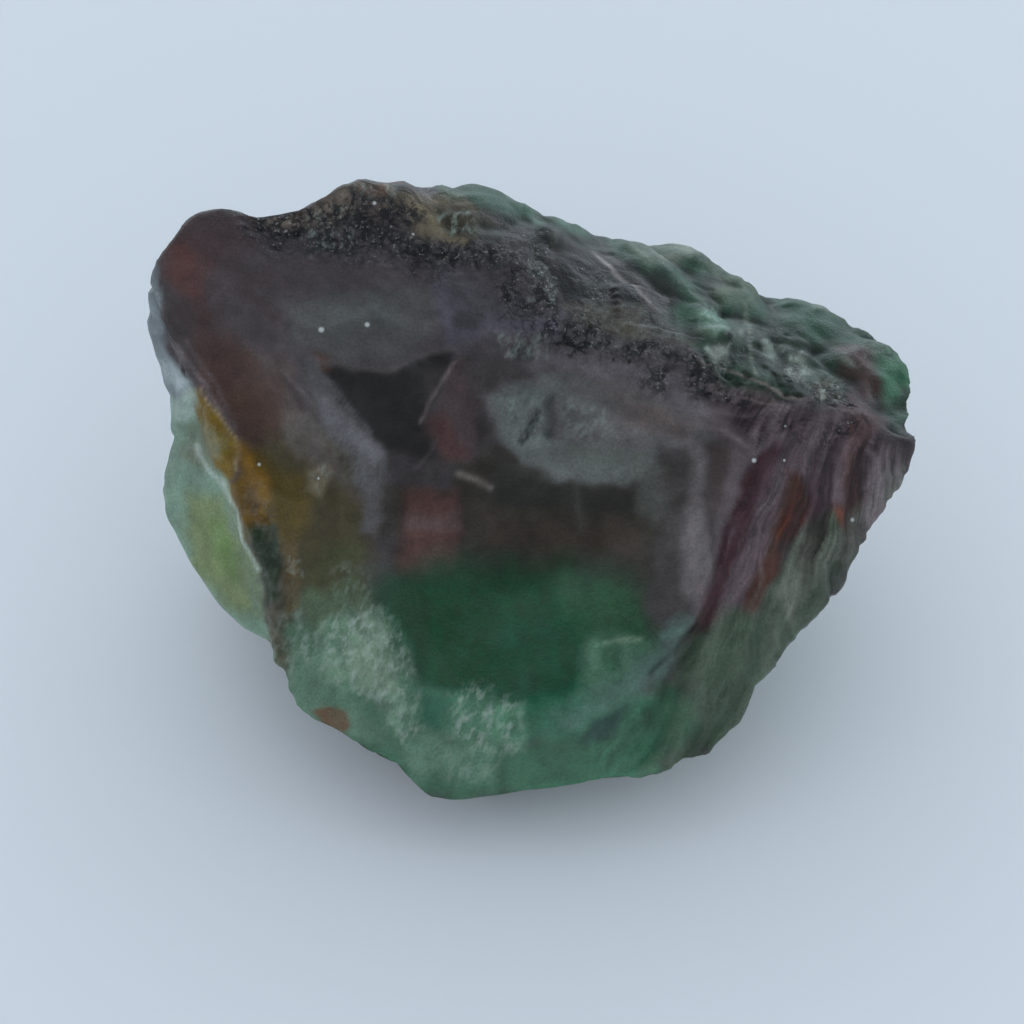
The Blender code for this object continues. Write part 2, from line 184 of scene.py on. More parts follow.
outline = [                    # across, up: the edge seen square to the big face, clockwise
    (-13.3, 14.7), (-12.5, 15.8), (-11.5, 16.1), (-10, 15.7), (-8.4, 16.1), (-7.1, 16.8), (-6, 17.3),
    (-4.4, 17.2), (-3.2, 16.8), (-1.6, 17), (0.3, 16.4), (2.1, 15.8), (4, 15), (6.8, 14.5), (8.3, 13.8),
    (10.1, 12.8), (12.6, 12), (14.1, 11.3), (15.3, 10.4), (15.9, 9.2), (15.7, 7.6), (16, 6.8), (15.5, 5.4),
    (14.1, 3.8), (12.9, 1.1), (11.2, -0.7), (9.5, -2.7), (8.9, -4.1), (7.7, -5.3), (5.7, -5.9), (3.1, -6.4),
    (0.5, -6.8), (-2.3, -7.1), (-3.2, -7), (-4.5, -5.7), (-6.8, -4.5), (-8.5, -3.5), (-9.1, -2), (-9.5, -1),
    (-10.7, -0.4), (-11.8, 0.7), (-12.6, 1.9), (-13.6, 3.7), (-13.9, 5.1), (-13.4, 7), (-13.6, 9),
    (-14.4, 11.7), (-14, 13.8),
]
hollows = {                    # centre (across, up), half sizes, turn, depth
    "three-cornered": ((-4.5, 7.4), (2.5, 3.6), 20, 0.5),
    "wide lower": ((2, 1.2), (5.6, 5.2), 0, 0.55),
    "left scoop": ((-9.6, 8.6), (1.8, 4.2), 22, 0.35),
    "foot scoop": ((-5.6, -6.2), (2, 1.2), -35, 0.35),
    "knob scoop": ((-8, 13.2), (3.2, 1.7), -8, 0.3),
}
ledges = {                     # line of (across, up), step up on its left, how far the step fades
    "upper shelf": ([(-11.3, 11.3), (-8.4, 10.8), (-6.8, 10.5), (-4.6, 10.5), (-2.2, 10.8)], 0.16, 2.2),
    "patch lip": ([(-3.4, 9.2), (-2.4, 7.9), (-1.3, 6.9), (0.1, 6.1), (1.9, 5.8), (4.3, 5.5), (6.4, 5.1)],
        0.24, 2.6),
}
ribs = {                       # line of (across, up), height, half width
    "slanting": ([(-9.6, 10), (-7.6, 8.6), (-5.4, 6.6), (-5.5, 3.8), (-5, 2.3)], 0.16, 0.9),
    "lower rim": ([(7, 5.8), (7.5, 3), (7, 0.7), (6, -1.3), (4.3, -3.1), (0.5, -4.8)], 0.26, 0.8),
    "right corner": ([(7.4, 7.8), (9.5, 6.2), (11.4, 7), (13.4, 7.6)], 0.25, 0.5),
    "chipped left edge": ([(-12.3, 8.9), (-11.1, 5.8), (-9.9, 2.7), (-9.1, -1.5)], 0.2, 0.35),
    "crest": ([(-1.2, 14.4), (2, 11.9), (4.8, 10.7), (7.4, 9.7), (9.8, 8.8), (13.4, 7.7)], 0.3, 0.8),
}
roughBand = [                  # lines of (across, up) that the zones lie along
    (-9.3, 15.9), (-5, 15.6), (-1, 13.9), (2.3, 11.6), (5.4, 10.6), (9, 9.2), (12.6, 8.1),
]
faceRightEdge = [
    (7.6, 9), (9.5, 6.2), (7.9, 2.8), (7.2, 0.8), (6.3, -1.3), (4.6, -3.3), (2.6, -5), (3.6, -6.8),
]
lobeEdge = [
    (-14, 14.5), (-12.9, 10.6), (-11.2, 7), (-10.2, 4), (-9.4, 1), (-8.9, -2.5),
]
chippedEdge = [
    (-10.1, 4.2), (-9.6, 2), (-9.1, -0.5), (-8.7, -2.6),
]
flatFacets = [                 # a closed shape
    (1.3, 14.9), (3.9, 14.9), (7, 12.5), (7.4, 10.8), (5.1, 10.6), (3.4, 11.3), (1.7, 11.8),
]

lean = radians(stoneShape["faceLean"])
across = np.array([1.0, 0.0, 0.0])
up = np.array([0.0, sin(lean), cos(lean)])
out = np.array([0.0, -cos(lean), sin(lean)])
faceAxes = np.array([across, up, out])
core = np.array(stoneShape["core"])
metresPerMm = 0.001
hashPrimes = np.array([73856093, 19349663, 83492791])


def fromFace(points):          # (across, up, out) times the three axes gives (x, y, z)
    return np.asarray(points, float) @ faceAxes


def toFace(points):            # the part of (x, y, z) along each axis gives (across, up, out)
    return points @ faceAxes.T


def ease(low, high, value):    # 0 below low, 1 above high, between them 3 part squared less 2 part cubed
    part = np.clip((value - low) / (high - low), 0, 1)
    return part * part * (3 - 2 * part)


def fade(name, value):         # ease between the two values that fades gives
    return ease(*fades[name], value)


def cellValue(cells, seed):    # cell numbers times primes, their bits mixed, brought to -1 to 1
    mix = np.bitwise_xor.reduce(cells * hashPrimes, axis=-1) ^ (seed * 40503 + 7919)
    mix = ((mix ^ (mix >> 13)) * 1274126177) & 0xFFFFFFFF
    mix = mix ^ (mix >> 16)
    return (mix & 0xFFFF) / 32767.5 - 1


# values of the eight cells round a point, blended with ease curves along the axes
def smoothNoise(points, seed):
    cells = np.floor(points).astype(np.int64)
    inside = ease(0, 1, points - cells)
    total = 0
    for corner in np.ndindex(2, 2, 2):
        share = np.prod(np.where(corner, inside, 1 - inside), axis=-1)
        total = total + share * cellValue(cells + np.array(corner), seed)
    return total


# smooth noise summed, each layer twice as fine and half as strong, over the sum of the strengths
def layeredNoise(points, layers, seed, shift=17.3):
    total = 0
    for layer in range(layers):
        total = total + 0.5**layer * smoothNoise(points * 2**layer + shift * layer, seed + layer)
    return total / (2 - 0.5 ** (layers - 1))


# sizes of smooth noise summed, each layer finer and weaker: round lumps with creases between them
def foldedNoise(points, layers, seed, finer=2.1, weaker=0.42, shift=9.1):
    total = 0
    for layer in range(layers):
        fold = np.abs(smoothNoise(points * finer**layer + shift * layer, seed + layer))
        total = total + weaker**layer * fold
    return total


def noiseAt(name, points):     # layered noise as noisePlan gives it
    fineness, layers, seed = noisePlan[name]
    return layeredNoise(points * fineness, layers, seed)


def noiseAxes(name, points, seedSteps=(0, 10)):   # one such noise for each axis, from seeds some steps apart
    fineness, layers, seed = noisePlan[name]
    return np.stack([layeredNoise(points * fineness, layers, seed + step) for step in seedSteps], -1)


def lumpsAt(name, points, bend=0):   # folded noise as noisePlan gives it, its points bent
    fineness, layers, seed = noisePlan[name]
    return foldedNoise(points * fineness + bend, layers, seed)


# each cell has a tilted cap on a jittered centre: tilt times offset, plus its rise, less offset squared times
# roundness; the highest cap round a point counts, so that the creases between caps stay closed
def cellFacets(points, seed, roundness, jitterReach=0.45, tiltReach=0.9, riseReach=0.4):
    cells = np.floor(points).astype(np.int64)
    height = np.full(points.shape[:-1], -9.0)
    for step in np.ndindex(3, 3, 3):
        cell = cells + np.array(step) - 1
        jitter = np.stack([cellValue(cell, seed + k) for k in (1, 2, 3)], -1)
        tilt = np.stack([cellValue(cell, seed + k) for k in (4, 5, 6)], -1)
        offset = points - (cell + 0.5 + jitterReach * jitter)
        cap = tiltReach * (offset * tilt).sum(-1) + riseReach * cellValue(cell, seed + 7)
        height = np.maximum(height, cap - roundness * (offset * offset).sum(-1))
    return height


def facetsAt(name, points, warp):   # cell facets as facetPlan gives them
    size, bend, seed, roundness = facetPlan[name]
    return cellFacets(points / size + bend * warp, seed, roundness)


# facets of the convex hull round the corners: their normals, and their distances from the core
def hullPlanes(corners):
    hull = bmesh.new()
    for corner in corners:
        hull.verts.new(corner)
    bmesh.ops.convex_hull(hull, input=hull.verts)
    normals = np.array([face.normal for face in hull.faces])
    centres = np.array([face.calc_center_median() for face in hull.faces])
    hull.free()
    distances = ((centres - core) * normals).sum(1)
    normals = normals * np.sign(distances)[:, None]
    planes = np.unique(np.round(np.c_[normals, np.abs(distances)], 3), axis=0)
    return planes[:, :3], planes[:, 3]


# a facet is reached at its distance over direction times normal; a sum of high powers of one over those picks
# the nearest facet and wears the edges a little
def blockReach(directions, planes, crispness):
    normals, distances = planes
    closeness = np.clip(directions @ normals.T, 0, None) / distances
    return np.power(closeness, crispness).sum(-1) ** (-1 / crispness)


def allPoints(groups):         # the corners of all groups in one array
    return np.concatenate([np.array(group, float) for group in groups.values()])


mainPlanes = hullPlanes(np.concatenate([fromFace(allPoints(mainCorners)), allPoints(hiddenCorners)]))
lobePlanes = hullPlanes(np.concatenate([fromFace(lobeRim), np.array(lobeBack, float)]))


# the farther of the two blocks, plus a quarter of the blend times the square of how nearly they meet
def stoneReach(directions):
    main = blockReach(directions, mainPlanes, stoneShape["mainCrispness"])
    lobe = blockReach(directions, lobePlanes, stoneShape["lobeCrispness"])
    behind = fade("behind", directions @ out)
    blend = stoneShape["frontBlend"] * (1 - behind) + stoneShape["backBlend"] * behind
    closeness = np.clip(1 - np.abs(main - lobe) / blend, 0, None)
    return np.maximum(main, lobe) + blend * closeness**2 / 4


# straight lines between known values, repeated every full turn
def aroundValue(angles, knownAngles, knownValues):
    order = np.argsort(knownAngles)
    angle, value, turn = knownAngles[order], knownValues[order], 2 * pi
    return np.interp(angles, np.r_[angle - turn, angle, angle + turn], np.r_[value, value, value])


# stretches points in the face plane by drawn edge over plain edge, only near the edge; the plain edge is the
# widest place that rays tipped towards and away from the face reach at each turn
def fitOutline(points, turnCount=360, tipCount=61, tipMost=1.2):
    turns = (np.arange(turnCount) + 0.5) / turnCount * 2 * pi - pi
    tips = np.linspace(-tipMost, tipMost, tipCount)
    inPlane = np.cos(turns)[:, None, None] * across + np.sin(turns)[:, None, None] * up
    rays = inPlane * np.cos(tips)[:, None] + out * np.sin(tips)[:, None]
    widest = (stoneReach(rays) * np.cos(tips)).max(1)
    centre = toFace(core)[:2]
    drawn = np.array(outline) - centre
    wanted = aroundValue(turns, np.arctan2(drawn[:, 1], drawn[:, 0]), np.hypot(drawn[:, 0], drawn[:, 1]))
    offset = toFace(points)[..., :2] - centre
    turn = np.arctan2(offset[..., 1], offset[..., 0])
    nearness = np.hypot(offset[..., 0], offset[..., 1]) / aroundValue(turn, turns, widest)
    stretch = (aroundValue(turn, turns, wanted / widest) - 1) * fade("outline", nearness)
    move = offset * stretch[..., None]
    return points + move[..., :1] * across + move[..., 1:] * up


# the run from start to end, each place's offset from the start, and its distance to the nearest point between
def nearestOnRun(places, start, end):
    run = end - start
    offset = places - start
    along = np.clip((offset @ run) / (run @ run), 0, 1)
    gap = offset - along[..., None] * run
    return run, offset, np.hypot(gap[..., 0], gap[..., 1])


def signedDistance(places, line):   # distance to the nearest run of a line, positive on its left
    nearest = np.full(places.shape[:-1], 1e9)
    signed = np.zeros(places.shape[:-1])
    line = np.array(line, float)
    for start, end in zip(line[:-1], line[1:]):
        run, offset, distance = nearestOnRun(places, start, end)
        side = np.where(run[0] * offset[..., 1] - run[1] * offset[..., 0] >= 0, 1, -1)
        closer = distance < nearest - 1e-9
        nearest = np.where(closer, distance, nearest)
        signed = np.where(closer, distance * side, signed)
    return signed


def insideShape(places, corners):   # distance to the nearest side of a closed shape, negative outside it
    corners = np.array(corners, float)
    nearest = np.full(places.shape[:-1], 1e9)
    crossings = np.zeros(places.shape[:-1], int)   # sides that lie to the right; an odd count is inside
    for start, end in zip(corners, np.roll(corners, -1, axis=0)):
        run, offset, distance = nearestOnRun(places, start, end)
        nearest = np.minimum(nearest, distance)
        spans = (start[1] > places[..., 1]) != (end[1] > places[..., 1])
        cut = start[0] + offset[..., 1] / (run[1] if run[1] else 1e-9) * run[0]
        crossings += spans & (places[..., 0] < cut)
    return np.where(crossings % 2 == 1, nearest, -nearest)


# 1 less the square of the distance from the centre of a turned ellipse, counted in its half sizes
def spot(places, centre, half, degrees):
    turn = radians(degrees)
    offset = places - np.array(centre)
    along = (offset[..., 0] * cos(turn) + offset[..., 1] * sin(turn)) / half[0]
    over = (offset[..., 1] * cos(turn) - offset[..., 0] * sin(turn)) / half[1]
    return np.clip(1 - along**2 - over**2, 0, 1)


def ridgeOver(places, line, halfWidth):   # bell curve of the distance to a line
    return np.exp(-((signedDistance(places, line) / halfWidth) ** 2))


# hollows are spots, ledges fade in across a line and die out past it, ribs are bell curves over a line
def frontRelief(places):
    height = np.zeros(places.shape[:-1])
    for centre, half, degrees, depth in hollows.values():
        height -= depth * spot(places, centre, half, degrees) ** stoneShape["hollowPower"]
    for line, step, fadeLength in ledges.values():
        distance = signedDistance(places, line)
        height += step * fade("ledge", distance) * np.exp(-np.clip(distance, 0, None) / fadeLength)
    for line, rise, halfWidth in ribs.values():
        height += rise * ridgeOver(places, line, halfWidth)
    return height


# coordinates along the grooves: turn round the fan's point, bent by noise; distance from it; depth
def grooveFlow(plane, depth, wander, ripple):
    fromFan = np.array(grooveFan["point"]) - plane
    turn = np.arctan2(-fromFan[..., 0], fromFan[..., 1])
    bend = grooveFan["wander"] * wander[..., 0] + grooveFan["ripple"] * ripple[..., 0]
    away = grooveFan["along"] * np.hypot(fromFan[..., 0], fromFan[..., 1])
    return np.stack([grooveFan["round"] * turn + bend, away, grooveFan["inward"] * depth], -1)


# each zone is a fade of a distance or a height, times a fade of the facing; the noises they share come along
def stoneZones(points, normals):
    flat = toFace(points)
    plane = flat[..., :2]
    facing = normals @ out
    wander = noiseAxes("wander", points)
    ripple = noiseAxes("ripple", points)
    places = plane + stoneShape["wander"] * wander + stoneShape["ripple"] * ripple
    bandGap = signedDistance(places, roughBand)
    bandMiddle = np.abs(bandGap + stoneShape["bandShift"])
    rightTop = plane[..., 1] + grooveFan["topSlope"] * (plane[..., 0] - grooveFan["topAcross"])
    right = fade("rightGap", signedDistance(plane, faceRightEdge)) * fade("rightFacing", facing)
    lobe = fade("lobeGap", signedDistance(plane, lobeEdge)) * fade("lobeFacing", facing)
    chipped = np.abs(signedDistance(plane, chippedEdge))
    flow = grooveFlow(plane, flat[..., 2], wander, ripple)
    warp = stoneShape["warp"] * noiseAxes("warp", points, (0, 1, 2))
    return {
        "normals": normals,
        "facing": facing,
        "places": places,
        "flow": flow,
        "warp": warp,
        "front": fade("front", facing),
        "broken": fade("broken", facing),
        "band": fade("bandGap", bandMiddle) * fade("bandFacing", facing),
        "right": right * fade("rightTop", rightTop),
        "beyond": fade("beyondGap", bandGap) * fade("beyondFacing", facing),   # far rim, past the crest
        "facets": fade("facetGap", insideShape(plane, flatFacets)) * fade("facetFacing", facing),
        "lobe": lobe * fade("lobeTop", plane[..., 1]),
        "chipped": fade("chippedGap", chipped) * fade("chippedFacing", facing),
        "lumps": lumpsAt("lumps", points, warp),
        "ridges": noiseAt("ridges", flow),
        "scoops": facetsAt("chips", points, warp) - noiseMiddle["chips"],
        "smallScoops": facetsAt("smallChips", points, warp) - noiseMiddle["chips"],
    }


# each zone times its heights times its noises, added up, and faded out at the foot
def reliefHeight(points, zones):
    shape = stoneShape
    places = zones["places"]
    warp = zones["warp"]
    pits = noiseAt("pits", points)
    crumble = shape["crumbHeight"] * noiseAt("crumbs", points) + shape["fineHeight"] * pits
    crumble = crumble - shape["pitDepth"] * fade("pits", pits)
    rough = zones["band"] * (1 - (1 - shape["bandOnFacets"]) * zones["facets"])
    lumpy = zones["beyond"] * (1 - (1 - shape["lumpsOnFacets"]) * zones["facets"])
    lumps = shape["lumpHeight"] * (zones["lumps"] - noiseMiddle["lumps"])
    lumps = lumps + shape["lumpFlatHeight"] * facetsAt("lumpFlats", points, warp)
    flats = facetsAt("flatFacets", points, warp) - noiseMiddle["flatFacets"]
    scallops = lumpsAt("scallops", points, warp) - noiseMiddle["scallops"]
    chips = lumpsAt("chipped", points) - noiseMiddle["chipped"]
    grooves = shape["grooveHeight"] * noiseAt("grooves", zones["flow"])
    grooves = grooves + shape["ridgeHeight"] * zones["ridges"]
    scoops = shape["chipHeight"] * zones["scoops"] + shape["smallChipHeight"] * zones["smallScoops"]
    height = zones["front"] * frontRelief(places)
    height += zones["front"] * (1 - zones["band"]) * shape["swellHeight"] * noiseAt("swell", points)
    height += rough * crumble + lumpy * lumps
    height -= zones["facets"] * shape["facetHeight"] * flats
    height += zones["lobe"] * fade("lobeFoot", places[..., 1]) * shape["lobeHeight"] * scallops
    height += zones["chipped"] * shape["chippedHeight"] * chips
    height += zones["right"] * grooves
    height += zones["broken"] * (shape["brokenHeight"] * noiseAt("broken", points) - scoops)
    height += shape["waveHeight"] * noiseAt("wave", points) + shape["grainHeight"] * noiseAt("grain", points)
    return height * fade("foot", points[..., 2])


# six square grids on a cube as directions, spaced by the tangent of even angles, welded at the seams
def cubeGrid(steps):
    line = np.tan(np.linspace(-1, 1, steps + 1) * pi / 4)
    a, b = np.meshgrid(line, line, indexing="ij")
    one = np.ones_like(a)
    sides = [(one, a, b), (-one, b, a), (b, one, a), (a, -one, b), (a, b, one), (b, a, -one)]
    directions = np.stack([np.stack(side, -1) for side in sides])
    directions /= np.linalg.norm(directions, axis=-1, keepdims=True)
    index = np.arange(directions[..., 0].size).reshape(directions.shape[:-1])
    quads = np.stack([index[:, :-1, :-1], index[:, 1:, :-1], index[:, 1:, 1:], index[:, :-1, 1:]], -1)
    unique, inverse = np.unique(np.round(directions.reshape(-1, 3), 6), axis=0, return_inverse=True)
    return unique, inverse.reshape(-1)[quads.reshape(-1, 4)]


def quadNormals(points, quads):   # at each vertex the crossed diagonals of its quads, summed, made 1 long
    corner = points[quads]
    faceNormals = np.cross(corner[:, 2] - corner[:, 0], corner[:, 3] - corner[:, 1])
    normals = np.zeros_like(points)
    for k in range(4):
        np.add.at(normals, quads[:, k], faceNormals)
    return normals / np.linalg.norm(normals, axis=1, keepdims=True)


# core plus direction times reach, fitted to the outline, then moved out along the normals by the relief
def stoneSurface():
    directions, quads = cubeGrid(stoneShape["gridSteps"])
    directions = directions + np.array([0, 0, stoneShape["frontDensity"]])
    directions = fromFace(directions * np.array(stoneShape["spread"]))
    directions /= np.linalg.norm(directions, axis=1, keepdims=True)
    points = fitOutline(core + directions * stoneReach(directions)[:, None])
    normals = quadNormals(points, quads)
    if ((points - core) * normals).sum() < 0:
        quads = quads[:, ::-1]
        normals = -normals
    zones = stoneZones(points, normals)
    points = points + normals * reliefHeight(points, zones)[:, None]
    points[:, 2] = np.maximum(points[:, 2], 0)
    return points, quads, zones


def stoneObject(points, quads):   # one mesh of quads, in metres
    body = bpy.data.meshes.new("stoneBody")
    body.vertices.add(len(points))
    body.vertices.foreach_set("co", (points * metresPerMm).astype(np.float32).ravel())
    body.loops.add(quads.size)
    body.loops.foreach_set("vertex_index", quads.astype(np.int32).ravel())
    body.polygons.add(len(quads))
    body.polygons.foreach_set("loop_start", np.arange(0, quads.size, 4, dtype=np.int32))
    body.update(calc_edges=True)
    body.validate()
    body.shade_smooth()
    piece = bpy.data.objects.new("stoneBody", body)
    bpy.context.scene.collection.objects.link(piece)
    return piece


points, quads, zones = stoneSurface()
stone = stoneObject(points, quads)
mesh = stone.data
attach(stone, "root")
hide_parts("stone")
print("stone", len(points), "points", 2 * len(quads), "triangles")

# a seen colour is what the stone shows in this light, 0 to 255
daylight = (0.805, 0.90, 1.0)
stoneColours = {
    "body": (61, 59, 62),
    "hiddenGreen": (54, 88, 74),
    "roomPlain": 1.135,        # how much daylight reaches a surface, whichever way it faces
    "roomUp": 0.18,            # more where it faces up
    "roomBack": 0.37,          # more where it faces back
    "sheen": 0.011,            # light that the surface reflects before it is coloured
    "darkest": 0.002,
    "mottle": 0.30,            # uneven lightness, fine
    "drift": 0.16,             # uneven lightness, coarse
    "streaks": 0.20,           # uneven lightness, drawn out along the grain
    "shake": 1.3,              # how far a zone's edge is shaken, for each millimetre of its softness
    "shakeMost": 0.5,
    "paleShake": 0.15,
    "finishShake": 0.5,
    "wornLine": 0.4,           # how much of a line is worn away
    "lowStreaks": 0.4,         # share of the fine streaks low on the right-hand side
}
washes = {                     # thin colours laid over the zones: seen colour, strength
    "ridgePaintedLight": ((106, 98, 108), 0.5),   # painted light on the raised grooves of the right-hand side and painted shade in the sunk ones, then the same lower down
    "groovePaintedShade": ((42, 30, 35), 0.65),
    "lowRidgePaintedLight": ((82, 94, 84), 0.32),
    "lowGroovePaintedShade": ((30, 42, 34), 0.32),
    "lumpGapShade": ((26, 36, 31), 0.75),       # painted shade between the lumps of the far rim, and painted glints on top of them
    "lumpGlint": ((126, 142, 134), 0.5),
    "hiddenDark": ((68, 58, 64), 0.9),     # behind and below: banded green and purple brown
    "hiddenVeil": ((116, 136, 124), 0.5),  # thin veils along the bands
    "hiddenCloud": ((116, 136, 124), 0.45),
    "hiddenRust": ((104, 72, 44), 0.7),
    "hiddenWorn": ((128, 132, 130), 0.4),  # dust on the broken ridges
}
hiddenBands = {
    "axis": (0.22, -0.42, 0.88),   # what the bands lie square to
    "width": 4.4,
    "waviness": 1.5,
    "fineShare": 0.9,          # how far the fine noise breaks up the dark bands, then the veils
    "veilShare": 0.4,
    "veilWidth": 0.14,
}
grain = {
    "grooveShare": 0.35,       # of the fine grooves in the ridges' colours
    "length": 0.3,             # waves per millimetre along the grain of the big face, and over it
    "slopeWidth": 1.8,
    "uprightWidth": 2.0,
    "slope": 0.4,              # how steeply the sloping grain rises
    "border": 0.2,             # how steeply the border between sloping and upright grain falls
}
fades.update({                 # noise, unless the note says otherwise
    "worn": (-0.15, 0.25),
    "highSide": (0, 3),        # places up the face
    "lowSide": (3, 0),
    # ridge noise where the painted light on the ridges and the painted shade in the grooves begin and end
    "ridgePaintedLight": (0.1, 0.4),
    "groovePaintedShade": (-0.05, -0.3),
    "lowRidgePaintedLight": (0.05, 0.4),
    "lowGroovePaintedShade": (-0.1, -0.4),
    # lump height where the painted shade between the lumps and the painted glints on their tops fall
    "lumpGapShade": (0.42, 0.18),
    "lumpGlint": (0.75, 1.0),
    "hiddenDark": (-0.7, 0.8),
    "hiddenVeil": (0.0, 0.35),
    "hiddenCloud": (0.15, 0.6),
    "hiddenRust": (0.32, 0.6),
    "hiddenWorn": (-0.22, -0.4),
    "wornFine": (-0.2, 0.2),
    "uprightGrain": (6.5, 4.5),    # places up the face
    "bandGrit": (-0.35, 0.1),
    "nearBand": (2.9, 0.8),    # distance from the rough band
    "nearFacing": (-0.3, 0.1),
    "nearGrit": (0.05, 0.35),
    "gritEdge": (-0.3, 0.3),   # distance inside the shape
    "chippedGrit": (0.0, 0.4),
    "rimGrit": (0.0, 0.5),
    "hiddenGrit": (-1.6, 0.1),     # facing
    "paleLumpGlints": (0.7, 1.0),
    "hiddenPale": (0.0, 0.5),
})
